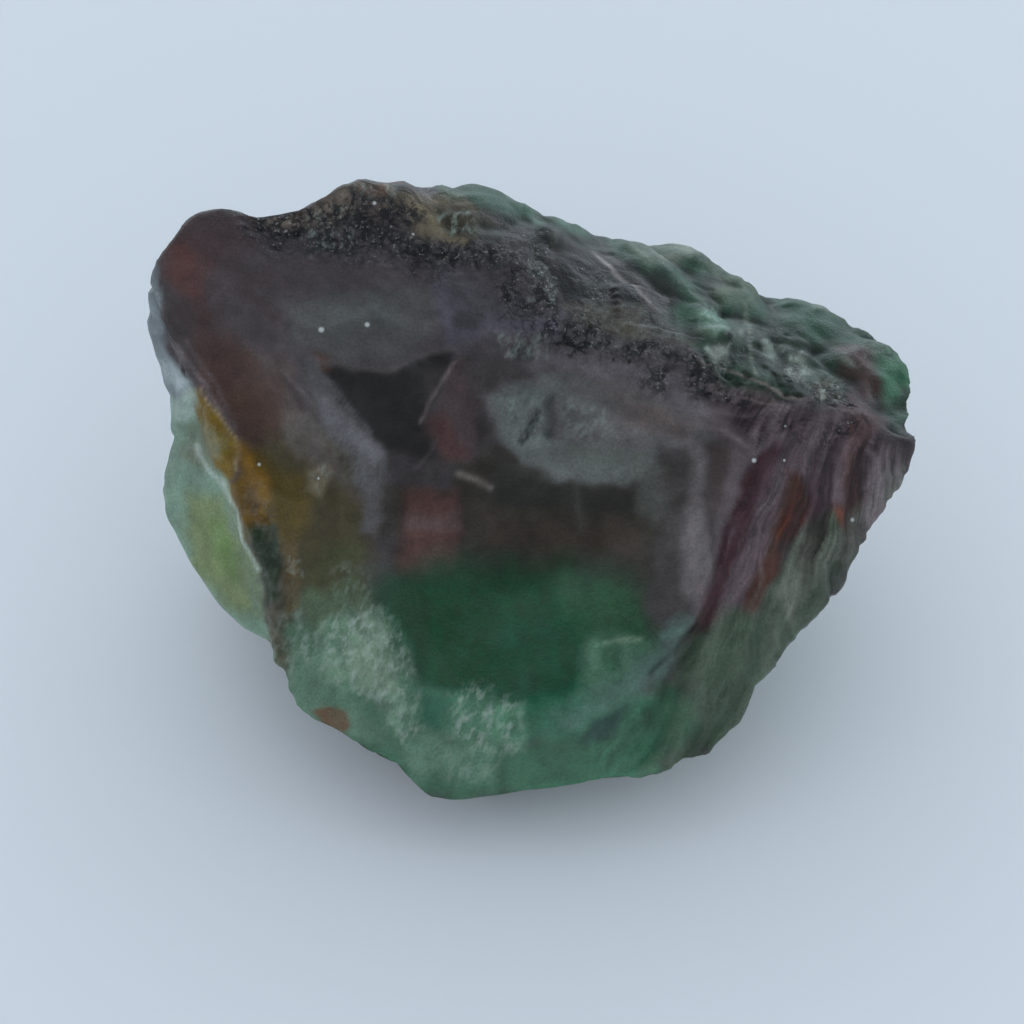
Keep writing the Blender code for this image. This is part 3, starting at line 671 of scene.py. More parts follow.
# the colour zones, laid over each other in this order
colourShapes = {               # corners (across, up), seen colour, softness in mm, strength, share worn away
    "upper face": ([(-13.3, 15.1), (-10, 15), (-6, 14.6), (-2.5, 13.8), (1.1, 13), (4.3, 11.1), (7.4, 10),
        (10.4, 7.4), (7.4, 7.4), (3.5, 9.7), (0.3, 10.6), (-2.5, 10.3), (-5.2, 9.6), (-8.4, 10.2),
        (-10.8, 10.3), (-12.7, 11.3)], (70, 67, 72), 0.7, 1, 0),
    "upper face warm": ([(-12.3, 14), (-8.4, 14), (-8.4, 10.8), (-10.8, 10.8), (-12.1, 12.1)], (66, 61, 65),
        0.8, 0.8, 0.2),
    # the next two shapes are painted sheen: bluish gray where the upper facets reflect the room light
    "blue sheen rise": ([(-2.8, 13.8), (0.3, 13.1), (3.1, 11.3), (1.9, 10.6), (-0.5, 11), (-2.5, 10.6),
        (-3.4, 12.3)], (80, 80, 94), 0.6, 0.9, 0.2),
    "crest face sheen": ([(0.3, 10.6), (3.5, 10.6), (7.4, 9.2), (9.8, 7), (7.4, 7.6), (4.3, 9.2), (1.1, 9.6)],
        (94, 93, 101), 0.5, 0.9, 0.2),
    # the next two shapes are a painted reflection: lighter gray where this facet reflects the room light
    "gray reflection": ([(-9, 12.5), (-7.2, 13), (-4.4, 13.1), (-3.4, 12.3), (-3.4, 11.1), (-4.4, 10.5),
        (-6.4, 10), (-7.5, 10.5), (-8.6, 10.9)], (77, 80, 82), 0.5, 0.95, 0.15),
    "gray reflection heart": ([(-7.4, 12.3), (-5, 12.5), (-4.6, 11.5), (-6.6, 11.1)], (84, 92, 92), 0.5, 0.6,
        0.3),
    "brown left": ([(-12.5, 11.1), (-10.8, 10.8), (-8.8, 9.8), (-8.4, 7.8), (-8.8, 6), (-10.8, 6.6),
        (-12.1, 8.6)], (64, 50, 46), 0.6, 1, 0),
    "red left": ([(-13, 12.7), (-11.9, 12.3), (-10.9, 10.6), (-10.4, 9.2), (-11.7, 9.1), (-12.5, 10.8)],
        (62, 47, 47), 0.5, 0.85, 0.15),
    "olive": ([(-9.9, 7), (-8.4, 7.4), (-6.6, 6.6), (-5.5, 5), (-5.5, 2.3), (-6.4, 0.7), (-8.4, 0.7),
        (-9.4, 2.3), (-9.9, 4.6)], (58, 55, 38), 0.7, 1, 0),
    "olive light": ([(-7.6, 2.8), (-5.8, 2.8), (-5.5, 1.1), (-7, 0.2), (-8.4, 1.3)], (56, 64, 42), 0.5, 0.8,
        0.4),
    "olive foot": ([(-9, 1), (-5.3, 1.1), (-5.5, -0.3), (-7.2, -1), (-8.9, -0.9)], (70, 90, 70), 0.45, 0.85,
        0.3),
    "amber band": ([(-10.9, 6.8), (-9.9, 6.5), (-9.5, 5.4), (-9.3, 3.8), (-9.6, 3), (-10.1, 4.6),
        (-10.6, 5.2)], (110, 84, 28), 0.3, 1, 0.1),
    "amber haze": ([(-9.9, 6.5), (-8.4, 5.8), (-8.1, 3.8), (-8.8, 2.3), (-9.4, 2.8), (-9.5, 5)],
        (76, 66, 27), 0.45, 0.95, 0.2),
    "second haze": ([(-10.3, 10.6), (-9.2, 10.5), (-7.7, 7), (-7, 5.6), (-8.2, 6.3), (-9.4, 8.6)],
        (72, 67, 69), 0.4, 0.7, 0.5),
    "haze foot": ([(-9.2, 8), (-8, 8), (-7.5, 6.8), (-8.4, 6.4), (-9, 7)], (90, 88, 86), 0.3, 0.7, 0.3),
    "high haze": ([(-8.2, 5.8), (-7.3, 6.1), (-7, 5.7), (-7.7, 4.8), (-8.2, 5.1)], (100, 94, 80), 0.15, 0.6,
        0.5),
    "knob": ([(-13.7, 15.1), (-12.7, 16.3), (-10.6, 16), (-9.9, 14.9), (-11.7, 14), (-12.3, 12.5),
        (-13.4, 12.5), (-13.7, 14)], (66, 56, 60), 0.6, 0.95, 0),
    "knob red": ([(-13.6, 14.7), (-12.9, 14.9), (-12.1, 14), (-12.3, 12.5), (-13.1, 12.9), (-13.6, 13.8)],
        (80, 55, 54), 0.4, 0.85, 0.2),
    "knob dark": ([(-13.8, 12.7), (-13, 12.5), (-12.5, 10.8), (-12.1, 9.8), (-12.7, 9.7), (-13.6, 11.1)],
        (50, 44, 45), 0.3, 0.9, 0),
    "dark middle": ([(-5, 6.4), (-2.5, 6.3), (-0.5, 6.7), (1.9, 5.7), (5.5, 5.4), (5.9, 3.8), (5.7, 1.9),
        (4.3, 0.3), (1.9, 1.5), (-0.5, 1.9), (-2.1, 1.5), (-4.4, 2.1), (-5, 3.8)], (47, 46, 43), 0.6, 1, 0),
    "darkest middle": ([(-0.5, 6.4), (1.1, 5.5), (5.1, 4.9), (4.7, 3.8), (1.9, 4.2), (-1.3, 4.7)],
        (39, 40, 39), 0.4, 0.85, 0.1),
    "warm middle": ([(-1.7, 4.4), (1.9, 4), (5.5, 3.8), (5.5, 2.3), (1.9, 2.3), (-1.3, 2.8)], (56, 51, 46),
        0.6, 0.8, 0.2),
    # the slanting strip, the strip heart and the strip foot are a painted highlight along the rounded
    # slanting rib
    "slanting strip highlight": ([(-8.4, 10.5), (-7.6, 10.1), (-7.1, 9.1), (-6.4, 8), (-5.5, 7.2), (-4.9, 6.5),
        (-5, 5.4), (-5.3, 4.9), (-5.2, 4), (-5.4, 3.4), (-5.8, 3.4), (-5.7, 4.6), (-6.4, 5.8), (-7.4, 7.4),
        (-7.9, 9)], (80, 82, 88), 0.25, 0.9, 0.25),
    "strip highlight heart": ([(-7.4, 8.9), (-6.6, 8.1), (-5.5, 7.1), (-5.1, 6.4), (-5.6, 5.9), (-6.7, 6.9),
        (-7.4, 8)], (93, 96, 103), 0.3, 0.8, 0.3),
    "strip haze": ([(-8.4, 7.6), (-7.5, 7.4), (-6.4, 5.8), (-5.8, 4.6), (-6.8, 5), (-7.9, 6.4)],
        (74, 71, 72), 0.4, 0.55, 0.6),
    "strip highlight foot": ([(-5.5, 5), (-5.2, 4.9), (-5.1, 4), (-5.3, 3.2), (-5.5, 3.4), (-5.4, 4)], (84, 84, 88),
        0.2, 0.6, 0.3),
    # painted shade: darker in the three-cornered hollow, over the dark body colour
    "shaded hollow": ([(-7.5, 9.9), (-6.6, 9.8), (-5, 9.7), (-4.3, 10.1), (-2.4, 10.5), (-2.3, 10),
        (-2.9, 8.9), (-3.3, 7.8), (-2.8, 6.9), (-3.6, 6), (-4.6, 6.1), (-4.9, 6.6), (-5.5, 7.2),
        (-6.4, 8.1), (-7, 9.1)], (38, 38, 39), 0.24, 1, 0),
    "hollow glow": ([(-3.6, 9.7), (-2.8, 9.7), (-3, 8.7), (-3.5, 8.5)], (56, 53, 55), 0.3, 0.7, 0.3),
    "hollow foot": ([(-5, 6.4), (-2.5, 6.3), (-2.3, 5), (-4.3, 4.9), (-4.9, 5.4)], (60, 58, 63), 0.35, 0.85,
        0.2),
    "rust dot": ([(-7.7, 10.4), (-7.1, 10.3), (-7, 9.7), (-7.5, 9.8)], (84, 62, 54), 0.2, 0.7, 0.2),
    "brown wedge": ([(-2.2, 10.1), (-1.6, 8.6), (-1.2, 7), (-1.7, 6.4), (-2.8, 6.4), (-3.3, 7.4),
        (-2.8, 8.9)], (64, 55, 59), 0.3, 0.95, 0),
    "wedge red": ([(-3.2, 7.8), (-2.4, 7.8), (-2, 6.5), (-2.9, 6.4)], (74, 50, 50), 0.3, 0.8, 0.2),
    "red block": ([(-4.3, 4.9), (-2.1, 5), (-2.1, 2.3), (-2.6, 0.7), (-4.5, 1.3), (-4.5, 3)], (74, 54, 53),
        0.35, 0.9, 0.2),
    "red block band": ([(-4.3, 4), (-2.1, 4.1), (-2.1, 3.4), (-4.3, 3.4)], (82, 70, 72), 0.2, 0.6, 0.3),
    "seam black": ([(1.8, 11.7), (3.6, 11.7), (3.8, 10.9), (3.5, 10.6), (1.9, 10.6)], (78, 78, 82), 0.15,
        0.95, 0.25),
    "seam thin": ([(3.6, 11), (5.5, 11), (7.9, 10.3), (7.6, 9.6), (5.5, 10.1), (3.6, 10.5)], (86, 86, 90),
        0.15, 0.9, 0.3),
    "seam dark": ([(-5, 15.4), (-2.8, 15.1), (-0.5, 14.7), (1.3, 14), (-0.5, 13.7), (-2.8, 14),
        (-4.9, 14.4)], (72, 72, 76), 0.2, 0.75, 0.5),
    "seam end dark": ([(8.1, 9.2), (11.4, 9.1), (13.2, 9.2), (13, 8.3), (11.4, 8.3), (9, 8.6)],
        (72, 70, 70), 0.2, 0.5, 0.6),
    "shelf": ([(7, 10.3), (9.2, 9.6), (11.5, 8.6), (11.4, 8.1), (9.8, 8.2), (8.2, 8.7), (6.8, 9.5)],
        (84, 80, 82), 0.2, 0.85, 0.2),
    "scratched crest": ([(-0.5, 11.2), (1.3, 11.2), (1.4, 10.3), (-0.5, 10.3)], (92, 92, 98), 0.15, 0.8,
        0.75),
    "scratched dark": ([(-0.2, 10.7), (0.8, 10.9), (0.9, 10.2), (0, 10.1)], (40, 39, 42), 0.1, 0.8, 0.4),
    "smudge left": ([(-10.4, 11.9), (-9.3, 11.9), (-9.3, 10.9), (-10.3, 10.9)], (52, 48, 50), 0.3, 0.7,
        0.2),
    "smudge right": ([(-2.4, 12.2), (-1.1, 12.1), (-1.1, 11.2), (-2.2, 11.2)], (50, 49, 54), 0.25, 0.75,
        0.5),
    # the light pearly shapes are a painted reflection of the room light on a raised sloping plate; the dark
    # cleft, fold, slash and notch are breaks in it
    "pearly reflection": ([(-1.2, 8.7), (-0.3, 9.1), (1.9, 9.7), (4.3, 9.2), (7.4, 7.8), (8.1, 6.9), (5.9, 6.6),
        (5.1, 5.4), (3.5, 5.4), (1.9, 5.5), (0.7, 6.1), (-0.3, 6.8), (-0.9, 7.8)], (84, 86, 90), 0.25, 1,
        0),
    "pearly left": ([(-0.9, 8.7), (0.3, 9.1), (1.4, 8.9), (1.6, 7), (0.4, 6.2), (-0.5, 7)], (86, 94, 95),
        0.25, 0.85, 0.2),
    "pearly crown": ([(0.9, 9.4), (1.9, 9.4), (2.1, 8.6), (1.1, 8.5)], (86, 94, 96), 0.3, 0.6, 0.4),
    "pearly blotch": ([(1.9, 8.5), (3.5, 8.2), (3.7, 7), (2.1, 7.1)], (100, 105, 108), 0.3, 0.6, 0.6),
    "pearly wisp": ([(3.4, 7.6), (5.1, 7.8), (5.3, 7.2), (3.6, 6.8)], (104, 108, 112), 0.15, 0.7, 0.6),
    "pearly cleft": ([(1.2, 8.6), (1.6, 8.7), (1.7, 7), (1.3, 6.8)], (46, 48, 51), 0.16, 0.75, 0.3),
    "pearly fold": ([(1.9, 6.7), (5.1, 6.5), (5.1, 6.1), (2, 6.2)], (66, 70, 70), 0.15, 0.7, 0.5),
    "pearly brown": ([(3.5, 9.1), (7.4, 7.8), (7, 7), (4.5, 7.4)], (92, 87, 89), 0.4, 0.9, 0.2),
    "pearly lip": ([(-0.3, 6.9), (0.7, 6.9), (3.5, 6.7), (5.5, 6.5), (6.2, 5.8), (5.5, 5.3), (3.5, 5.3),
        (1.9, 5.5), (0.7, 6)], (90, 98, 97), 0.25, 0.85, 0.3),
    "lip tail": ([(5.1, 5.8), (6.2, 6), (6.5, 4.6), (5.6, 3.7), (5, 4.4)], (74, 79, 78), 0.35, 0.8, 0.3),
    "pearly slash": ([(0.2, 6.9), (0.6, 7.6), (1, 8.2), (1.1, 8), (0.9, 7.4), (0.4, 6.8)], (45, 47, 49),
        0.08, 0.9, 0),
    "pearly notch": ([(-1.6, 7.6), (-1.1, 7.9), (-0.9, 7.2), (-1.3, 6.8)], (44, 43, 45), 0.15, 0.8, 0),
    "green top": ([(-5, 1.7), (-2.1, 2.3), (1.9, 2.3), (5.1, 1.5), (5.5, -0.9), (1.9, -1.7), (-3.6, -1.3),
        (-5.2, -0.1)], (34, 60, 44), 0.9, 1, 0),
    "deep green": ([(-5.3, 1.2), (-2.5, 1.4), (0.3, 1.5), (3.5, 1.1), (5.1, -0.1), (5.5, -1.5), (3.9, -3.3),
        (1.4, -4.2), (-0.5, -3.4), (-2.5, -3.3), (-4.4, -2.2), (-5.6, -0.3)], (15, 66, 44), 0.8, 1, 0),
    "green join": ([(-4.6, -2.2), (-2.5, -2.9), (-0.5, -3.3), (1.9, -3.1), (4.3, -2.6), (6, -3.4),
        (3.9, -5.1), (0.3, -4.9), (-2.5, -4.8), (-4.5, -4.4)], (58, 106, 88), 0.45, 0.9, 0.15),
    "cleft green": ([(-3.7, -2.9), (-2.8, -3.3), (-2.6, -4.4), (-3.3, -4.7), (-3.8, -3.9)], (30, 84, 66),
        0.25, 0.7, 0.2),
    "cloud gap": ([(-7.4, -0.1), (-6.9, -0.2), (-7.2, -1.5), (-7.6, -1.4)], (38, 92, 70), 0.2, 0.8, 0.2),
    "green right": ([(1.9, 1.7), (3.5, 1.5), (5.1, 0.7), (5.1, -1.3), (3.5, -1.7), (2.3, -0.5)],
        (44, 80, 58), 0.6, 0.8, 0.3),
    "green heart": ([(-0.5, -0.1), (1.9, -0.1), (2.7, -2.9), (1.1, -3.8), (-0.9, -2.9)], (8, 72, 52), 0.5,
        0.75, 0.15),
    "green glow": ([(3.1, -0.9), (5.1, -0.9), (5.1, -2.9), (3.7, -3.8), (2.7, -2.7)], (78, 116, 98), 0.5,
        0.85, 0.4),
    "green cliff": ([(-7.5, -0.3), (-6.6, 0.1), (-6.3, -1.7), (-6.9, -2.9), (-7.5, -2.1)], (58, 96, 80),
        0.4, 0.7, 0.4),
    "bottom band": ([(-9.9, -0.9), (-8.4, -0.4), (-6.8, -1.7), (-5.2, -3.3), (-2.8, -4.7), (1.1, -5.1),
        (4.3, -3.9), (6.6, -4.7), (5.1, -7.2), (-4.4, -7.2), (-10, -4.9)], (58, 98, 80), 0.6, 1, 0),
    "bottom pale": ([(-4.4, -4.4), (-2.8, -4.7), (-0.5, -4.9), (-0.9, -6.2), (-4.4, -6.4)], (98, 130, 116),
        0.5, 0.65, 0.5),
    "lower left": ([(-9.9, -0.9), (-8.4, -0.4), (-6.6, -2.9), (-5.2, -3.9), (-4.8, -5.3), (-7.2, -4.8),
        (-9.2, -4.1)], (80, 108, 94), 0.5, 0.9, 0.2),
    "left cloud": ([(-7.7, -0.4), (-6.4, 0.2), (-5.1, 0.2), (-4.3, -1.3), (-4, -2.9), (-4.5, -3.8),
        (-5.5, -3), (-6.6, -2.7), (-7.5, -2)], (104, 134, 116), 0.45, 0.85, 0.5),
    "left cloud heart": ([(-6.6, -1.3), (-5.4, -0.9), (-4.5, -1.8), (-4.6, -2.9), (-5.7, -2.6)],
        (118, 144, 126), 0.35, 0.6, 0.5),
    "cloud tail": ([(-5, -2.9), (-3.6, -3.1), (-3.5, -4.5), (-4.3, -5.1), (-5, -4.3)], (92, 126, 108), 0.35,
        0.85, 0.5),
    "right cloud": ([(-2.4, -3.3), (-1.3, -2.9), (0.4, -3.6), (0.3, -5.1), (-1.3, -5.2), (-2.5, -4.7)],
        (78, 122, 100), 0.4, 0.85, 0.5),
    "stain": ([(-7.9, -3.8), (-7.2, -3.5), (-6.6, -3.6), (-6.4, -4.2), (-6.7, -4.7), (-7.4, -4.4)],
        (86, 66, 48), 0.12, 0.95, 0.15),
    "rim shade": ([(5.9, 6.4), (7, 6.4), (7.4, 2.3), (6.6, 0.3), (5.5, 0.7), (5.7, 2.3), (6.2, 3.8)],
        (62, 60, 61), 0.4, 0.85, 0.2),
    # painted highlight: lighter along the rounded edge on the right of the big face
    "rim band highlight": ([(6.9, 7), (7.5, 6.8), (7.5, 3.8), (8, 1.5), (7.4, 0.2), (6.9, 0.7), (6.8, 3), (7, 5)],
        (102, 100, 104), 0.3, 0.9, 0.35),
    "rim gap": ([(7.6, 6.7), (8.6, 6.6), (8.3, 4.6), (7.9, 2.3), (7.7, 3)], (60, 53, 54), 0.25, 0.85, 0.2),
    "outer wisp": ([(8.7, 6.7), (9.5, 6.3), (8.8, 4.2), (8.4, 2), (7.4, -0.1), (7, 0.2), (8, 2.3),
        (8.3, 4.6)], (86, 80, 87), 0.25, 0.9, 0.35),
    # painted highlight: pale along the rounded lower edge
    "lower edge highlight": ([(7.4, 0.2), (7, -0.9), (5.7, -2.6), (3.6, -3.8), (2.1, -4.3), (1.7, -3.9),
        (3.3, -3), (5.1, -1.5), (6.5, 0.2)], (80, 108, 102), 0.35, 0.85, 0.4),
    "blue slot": ([(2.6, -4.8), (3.3, -4), (4.6, -3.5), (3.9, -4.7), (3, -5.2)], (38, 62, 58), 0.2, 0.85,
        0),
    "bottom right": ([(0.3, -5.2), (3.5, -5.1), (6, -5.2), (5.1, -6.9), (0.3, -7.2)], (60, 103, 83), 0.4,
        0.85, 0.2),
    "bottom edge right": ([(3.1, -4.9), (5.9, -4.9), (5.7, -6.1), (3.5, -6.4)], (62, 110, 90), 0.25, 0.7,
        0.3),
    "corner lines": ([(7.4, 8.6), (11.4, 8.4), (11.6, 7.6), (10.4, 7), (9.2, 6.6), (8.1, 7)], (72, 64, 70),
        0.4, 0.9, 0.2),
    "corner dark": ([(8.3, 8.1), (10.2, 7.5), (11, 7), (10.1, 6.6), (9.1, 6.8)], (48, 38, 43), 0.25, 0.8,
        0.3),
    "right side": ([(10.2, 6.8), (11.4, 7.8), (13.4, 8.2), (14.7, 7.4), (14.5, 5.8), (13.4, 3.8),
        (12.6, 2.3), (10.6, 0.7), (9, -1.3), (7.4, -3.3), (6.6, -2.9), (7.4, -0.9), (8.8, 2.3), (9.5, 5)],
        (72, 63, 70), 0.4, 1, 0),
    "maroon band": ([(9.6, 6.4), (10.7, 6.4), (9.7, 4.6), (9.1, 2.8), (8.1, 0.7), (7.3, -1.1), (6.7, -1),
        (7.6, 1.1), (8.2, 2.8), (8.8, 4.4), (9.1, 5.4)], (50, 30, 36), 0.2, 1, 0.05),
    "rust band": ([(10.9, 5.5), (11.6, 5.2), (11.4, 3.8), (10.8, 2.8), (10.4, 1.5), (9.7, 0.2), (9.2, 0.4),
        (9.7, 2.3), (10.4, 3.8)], (58, 42, 36), 0.25, 0.95, 0.2),
    "rust hot": ([(10.5, 3.8), (11.3, 5.6), (11.6, 4.2), (11, 2.9), (10.4, 3)], (68, 36, 22), 0.15, 0.9,
        0.15),
    "brown edge": ([(9.8, 2.2), (10.5, 2.8), (10.2, 1), (9.3, -0.2), (8.9, -0.4), (9.3, 1.1)], (60, 38, 32),
        0.15, 0.85, 0.15),
    "maroon right": ([(13.2, 9.4), (14.1, 9.4), (14.3, 7), (13.9, 4.6), (13.4, 3.4), (13, 4.6), (13.2, 7)],
        (60, 40, 36), 0.25, 0.9, 0.2),
    "crest dusk": ([(11.6, 3.4), (12.5, 3.5), (12.8, 2.6), (11.9, 2.2)], (90, 92, 90), 0.25, 0.6, 0.3),
    "crest spot": ([(12.5, 4.3), (13.1, 4.5), (13.3, 3.5), (12.6, 3.3)], (92, 62, 54), 0.2, 0.7, 0.3),
    "ridge crown": ([(11.4, 7.8), (13.2, 8), (13.2, 4.6), (12.2, 4.4), (11.6, 5.4)], (86, 80, 86), 0.25,
        0.6, 0.3),
    "rust tongue": ([(12.5, 4.1), (13, 4.4), (13.2, 3.4), (12.9, 2.6), (12.6, 3)], (104, 60, 44), 0.15,
        0.95, 0.1),
    "right gray-green": ([(11.6, 3.8), (12.6, 4.2), (13.4, 2.8), (14.2, 4.2), (14, 2.8), (12.4, 0.6),
        (11, -1.1), (9.6, -3.1), (8.8, -1.7), (9.8, 0.4), (10.8, 2.4)], (62, 76, 67), 0.25, 1, 0),
    "right pale strip": ([(11.4, 3.2), (13, 3.4), (12.4, 1.9), (11, -0.1), (10.4, 0.9)], (100, 110, 102),
        0.25, 0.85, 0.2),
    "right gray edge": ([(13.4, 4.2), (15.5, 6.4), (15.3, 5), (14, 3.5), (13.3, 2), (12.7, 2.3),
        (13.2, 3.4)], (86, 90, 86), 0.25, 0.9, 0.15),
    "lower right": ([(7, -0.9), (8.8, 0.4), (9.8, -0.1), (9.6, -3.3), (8.5, -5.1), (6.5, -6.1), (5.6, -5.5),
        (5.7, -3.3), (6.3, -2.5)], (50, 68, 56), 0.4, 0.95, 0),
    "lower right green": ([(5.8, -2.5), (7, -2.9), (7, -4.9), (5.1, -5.8), (4.3, -4.9)], (40, 88, 66), 0.4,
        0.85, 0.3),
    "tip": ([(14, 7.6), (15.9, 7.4), (15.8, 6.6), (14.5, 4.6), (13.7, 4.2), (13.7, 6.2)], (40, 36, 40), 0.3,
        0.95, 0.15),
    "tip pale": ([(14.5, 5.8), (15.5, 6.1), (14.9, 4.8), (14, 4.2)], (90, 100, 96), 0.3, 0.6, 0.4),
    "far rim": ([(-3.2, 17.3), (-2.6, 16.3), (0.3, 16), (3.5, 14.9), (5.8, 12.6), (7, 10.6), (8.2, 9.2),
        (11.4, 8.7), (13.4, 8.8), (15.5, 7.4), (16.3, 9.4), (15.3, 11.3), (9, 14.9), (1.9, 17.3)],
        (48, 80, 66), 0.3, 1, 0),
    "far rim deep": ([(9.8, 12.5), (13, 12.3), (15.3, 10.6), (15.5, 9), (14.2, 9.2), (13, 10.8),
        (11, 11.3)], (24, 68, 48), 0.5, 0.85, 0.4),
    "far rim olive": ([(7.4, 13.8), (9.8, 13.5), (10, 12.5), (7.6, 12.5)], (76, 90, 72), 0.5, 0.7, 0.5),
    "far rim dusk": ([(3.9, 14.5), (5.5, 13.8), (7, 12.9), (6.2, 12.1), (4.7, 12.9)], (56, 54, 58), 0.3,
        0.9, 0.25),
    "far rim pale": ([(4.5, 15.2), (6.6, 15), (7.4, 14.3), (5.8, 14), (4.7, 14.6)], (118, 132, 122), 0.3,
        0.7, 0.4),
    "rim teal": ([(-0.5, 16.3), (1.9, 16.2), (3.5, 15.5), (3.1, 15.1), (1.1, 15.5), (-0.5, 15.8)],
        (60, 104, 88), 0.3, 0.8, 0.4),
    "green tip": ([(14.7, 10.9), (15.8, 10.2), (16, 7.8), (15.2, 7.6), (14.7, 9.2)], (58, 108, 84), 0.3,
        0.95, 0.2),
    "crest lumps": ([(7, 11.7), (9, 11.9), (12.6, 10.9), (13.2, 9), (11.4, 8.5), (9, 9.1), (7.4, 9.8)],
        (38, 54, 46), 0.35, 0.9, 0.3),
    # the next four shapes are painted glints on the glassy lumps, with some pale frosty crystal in them
    "frost glint crystal": ([(7.4, 12), (8.4, 12.1), (8.6, 11.3), (7.9, 10.9), (7.4, 11.3)], (98, 140, 124), 0.15,
        0.8, 0.3),
    "frost glint left": ([(7.7, 10.5), (8.4, 10.6), (8.6, 10), (8.1, 9.6), (7.6, 10)], (120, 132, 128), 0.13, 0.9,
        0.5),
    "frost glint middle": ([(9.9, 10.9), (10.6, 11.1), (10.9, 10.6), (10.5, 10.1), (10, 10.2)], (112, 128, 122),
        0.13, 0.85, 0.5),
    "frost glint right": ([(10.9, 10.3), (11.5, 10.5), (11.9, 9.8), (11.5, 9.3), (11, 9.5)], (118, 130, 124),
        0.13, 0.9, 0.5),
    "frost dark": ([(9.6, 10.5), (10.1, 10.2), (10.2, 9.7), (9.7, 9.5)], (38, 50, 46), 0.12, 0.7, 0.3),
    "yellow grit": ([(11.6, 9.2), (12.8, 9.4), (13.1, 8.4), (12.1, 8.3)], (66, 66, 50), 0.2, 0.8, 0.4),
    "right brown": ([(12.7, 10.6), (13.4, 10.8), (14, 10.5), (14.5, 9.5), (14.8, 7.6), (13.8, 7.4),
        (13.2, 8.7), (12.9, 9.6)], (66, 48, 50), 0.22, 0.95, 0.1),
    "wedge bright": ([(13.2, 8.7), (13.8, 9.7), (14.2, 8.9), (14.2, 7.4), (13.5, 7)], (74, 58, 62), 0.2,
        0.7, 0.4),
    "smooth facet": ([(1.9, 14), (2.4, 14.5), (3.5, 14.5), (4.3, 13.6), (5.5, 12.6), (5.1, 12.2),
        (3.5, 12.5), (2, 12.5)], (26, 28, 26), 0.12, 1, 0),
    "facet foot": ([(2, 12.5), (5.1, 12.3), (7.4, 11.3), (7.4, 10.6), (5.1, 10.8), (3.6, 11.3),
        (2.1, 11.6)], (66, 65, 58), 0.2, 0.9, 0.35),
    "facet foot right": ([(5.1, 12.4), (7, 11.8), (7.6, 10.8), (5.5, 10.9)], (46, 50, 48), 0.25, 0.8, 0.2),
    "band warm": ([(-2.8, 13.5), (1.1, 13.5), (1.7, 11.7), (-0.5, 11.7), (-2.5, 12.5)], (62, 60, 62), 0.4,
        0.6, 0.4),
    "peak": ([(-7.7, 16.6), (-6.4, 17.4), (-4.4, 17.4), (-3.2, 16.6), (-4.4, 15.9), (-7.2, 15.6)],
        (80, 74, 70), 0.3, 0.9, 0.5),
    "crust top": ([(-9.9, 15.8), (-8.4, 16.2), (-7.4, 16.6), (-6.5, 17), (-6.3, 16), (-7.6, 15.5),
        (-9.6, 15.5)], (104, 98, 92), 0.12, 0.8, 0.5),
    "peak warm": ([(-6, 17.3), (-4.7, 17.3), (-4.7, 16.7), (-5.9, 16.6)], (126, 104, 92), 0.2, 0.8, 0.4),
    "peak olive": ([(-4.6, 16.6), (-2.8, 16.5), (-1.7, 16.2), (-0.5, 15.6), (-1.7, 14.8), (-3.7, 15.1)],
        (128, 123, 104), 0.35, 0.85, 0.4),
    "rim shoulder": ([(-3.2, 16.2), (-0.5, 15.8), (1.9, 15.4), (3.9, 14.7), (5.1, 14), (4.3, 13.4),
        (1.9, 14.3), (-0.5, 14.7), (-2.5, 15.1)], (22, 24, 25), 0.22, 0.85, 0.25),
    "amber flake": ([(-12.8, 9), (-12.3, 8.9), (-11.7, 8.2), (-10.8, 6.9), (-10.9, 5.5), (-11.3, 5.3),
        (-12.3, 6.1), (-12.6, 7), (-12.7, 8)], (104, 86, 24), 0.12, 1, 0.12),
    "flake glow": ([(-12.1, 7.6), (-11.3, 7), (-11.1, 5.8), (-11.7, 6.1), (-12.2, 6.8)], (118, 100, 34),
        0.2, 0.7, 0.5),
    "amber foot": ([(-11.3, 5.3), (-10.6, 5.4), (-10, 4), (-9.9, 3), (-10.4, 3), (-10.9, 4.2)],
        (104, 82, 30), 0.15, 0.95, 0.15),
    "chipped edge": ([(-10.5, 3.8), (-9.8, 3.4), (-9.2, 0.7), (-8.7, -1.7), (-9.1, -2.9), (-9.6, -1.7),
        (-9.8, 0.7)], (78, 78, 62), 0.2, 0.95, 0.3),
    "chip brown": ([(-9.2, 3), (-8.4, 2.8), (-8.4, 0.7), (-8.9, -0.1), (-9.2, 1.1)], (80, 70, 48), 0.2, 0.8,
        0.3),
    "chipped dark": ([(-10.1, 3.7), (-9.3, 3.8), (-9.1, 2.3), (-9.3, 0.7), (-9.7, 0.4), (-10, 1.9)],
        (35, 50, 36), 0.14, 0.95, 0.15),
    "lobe": ([(-14.8, 10.2), (-12.6, 8.6), (-12.4, 6.8), (-11.2, 5.3), (-10.4, 2.7), (-9.8, -0.1),
        (-9.3, -1.5), (-11.9, -0.9), (-15.1, 3.8)], (110, 139, 126), 0.14, 1, 0),
    "lobe top": ([(-14.5, 10.8), (-13.7, 10.5), (-12.9, 9.4), (-12.4, 8.8), (-12.5, 7.9), (-13.1, 7.6),
        (-13.9, 8.6)], (142, 164, 162), 0.25, 0.85, 0.1),
    "lobe shade": ([(-13.3, 7.6), (-12.5, 7.6), (-11.9, 5.9), (-12.5, 4.6), (-13.4, 5)], (98, 126, 116),
        0.3, 0.6, 0.4),
    "lobe dusk": ([(-13, 7.6), (-11.7, 7.6), (-11.3, 6.5), (-12.2, 5.7), (-13.3, 6.3)], (100, 106, 88), 0.3,
        0.7, 0.4),
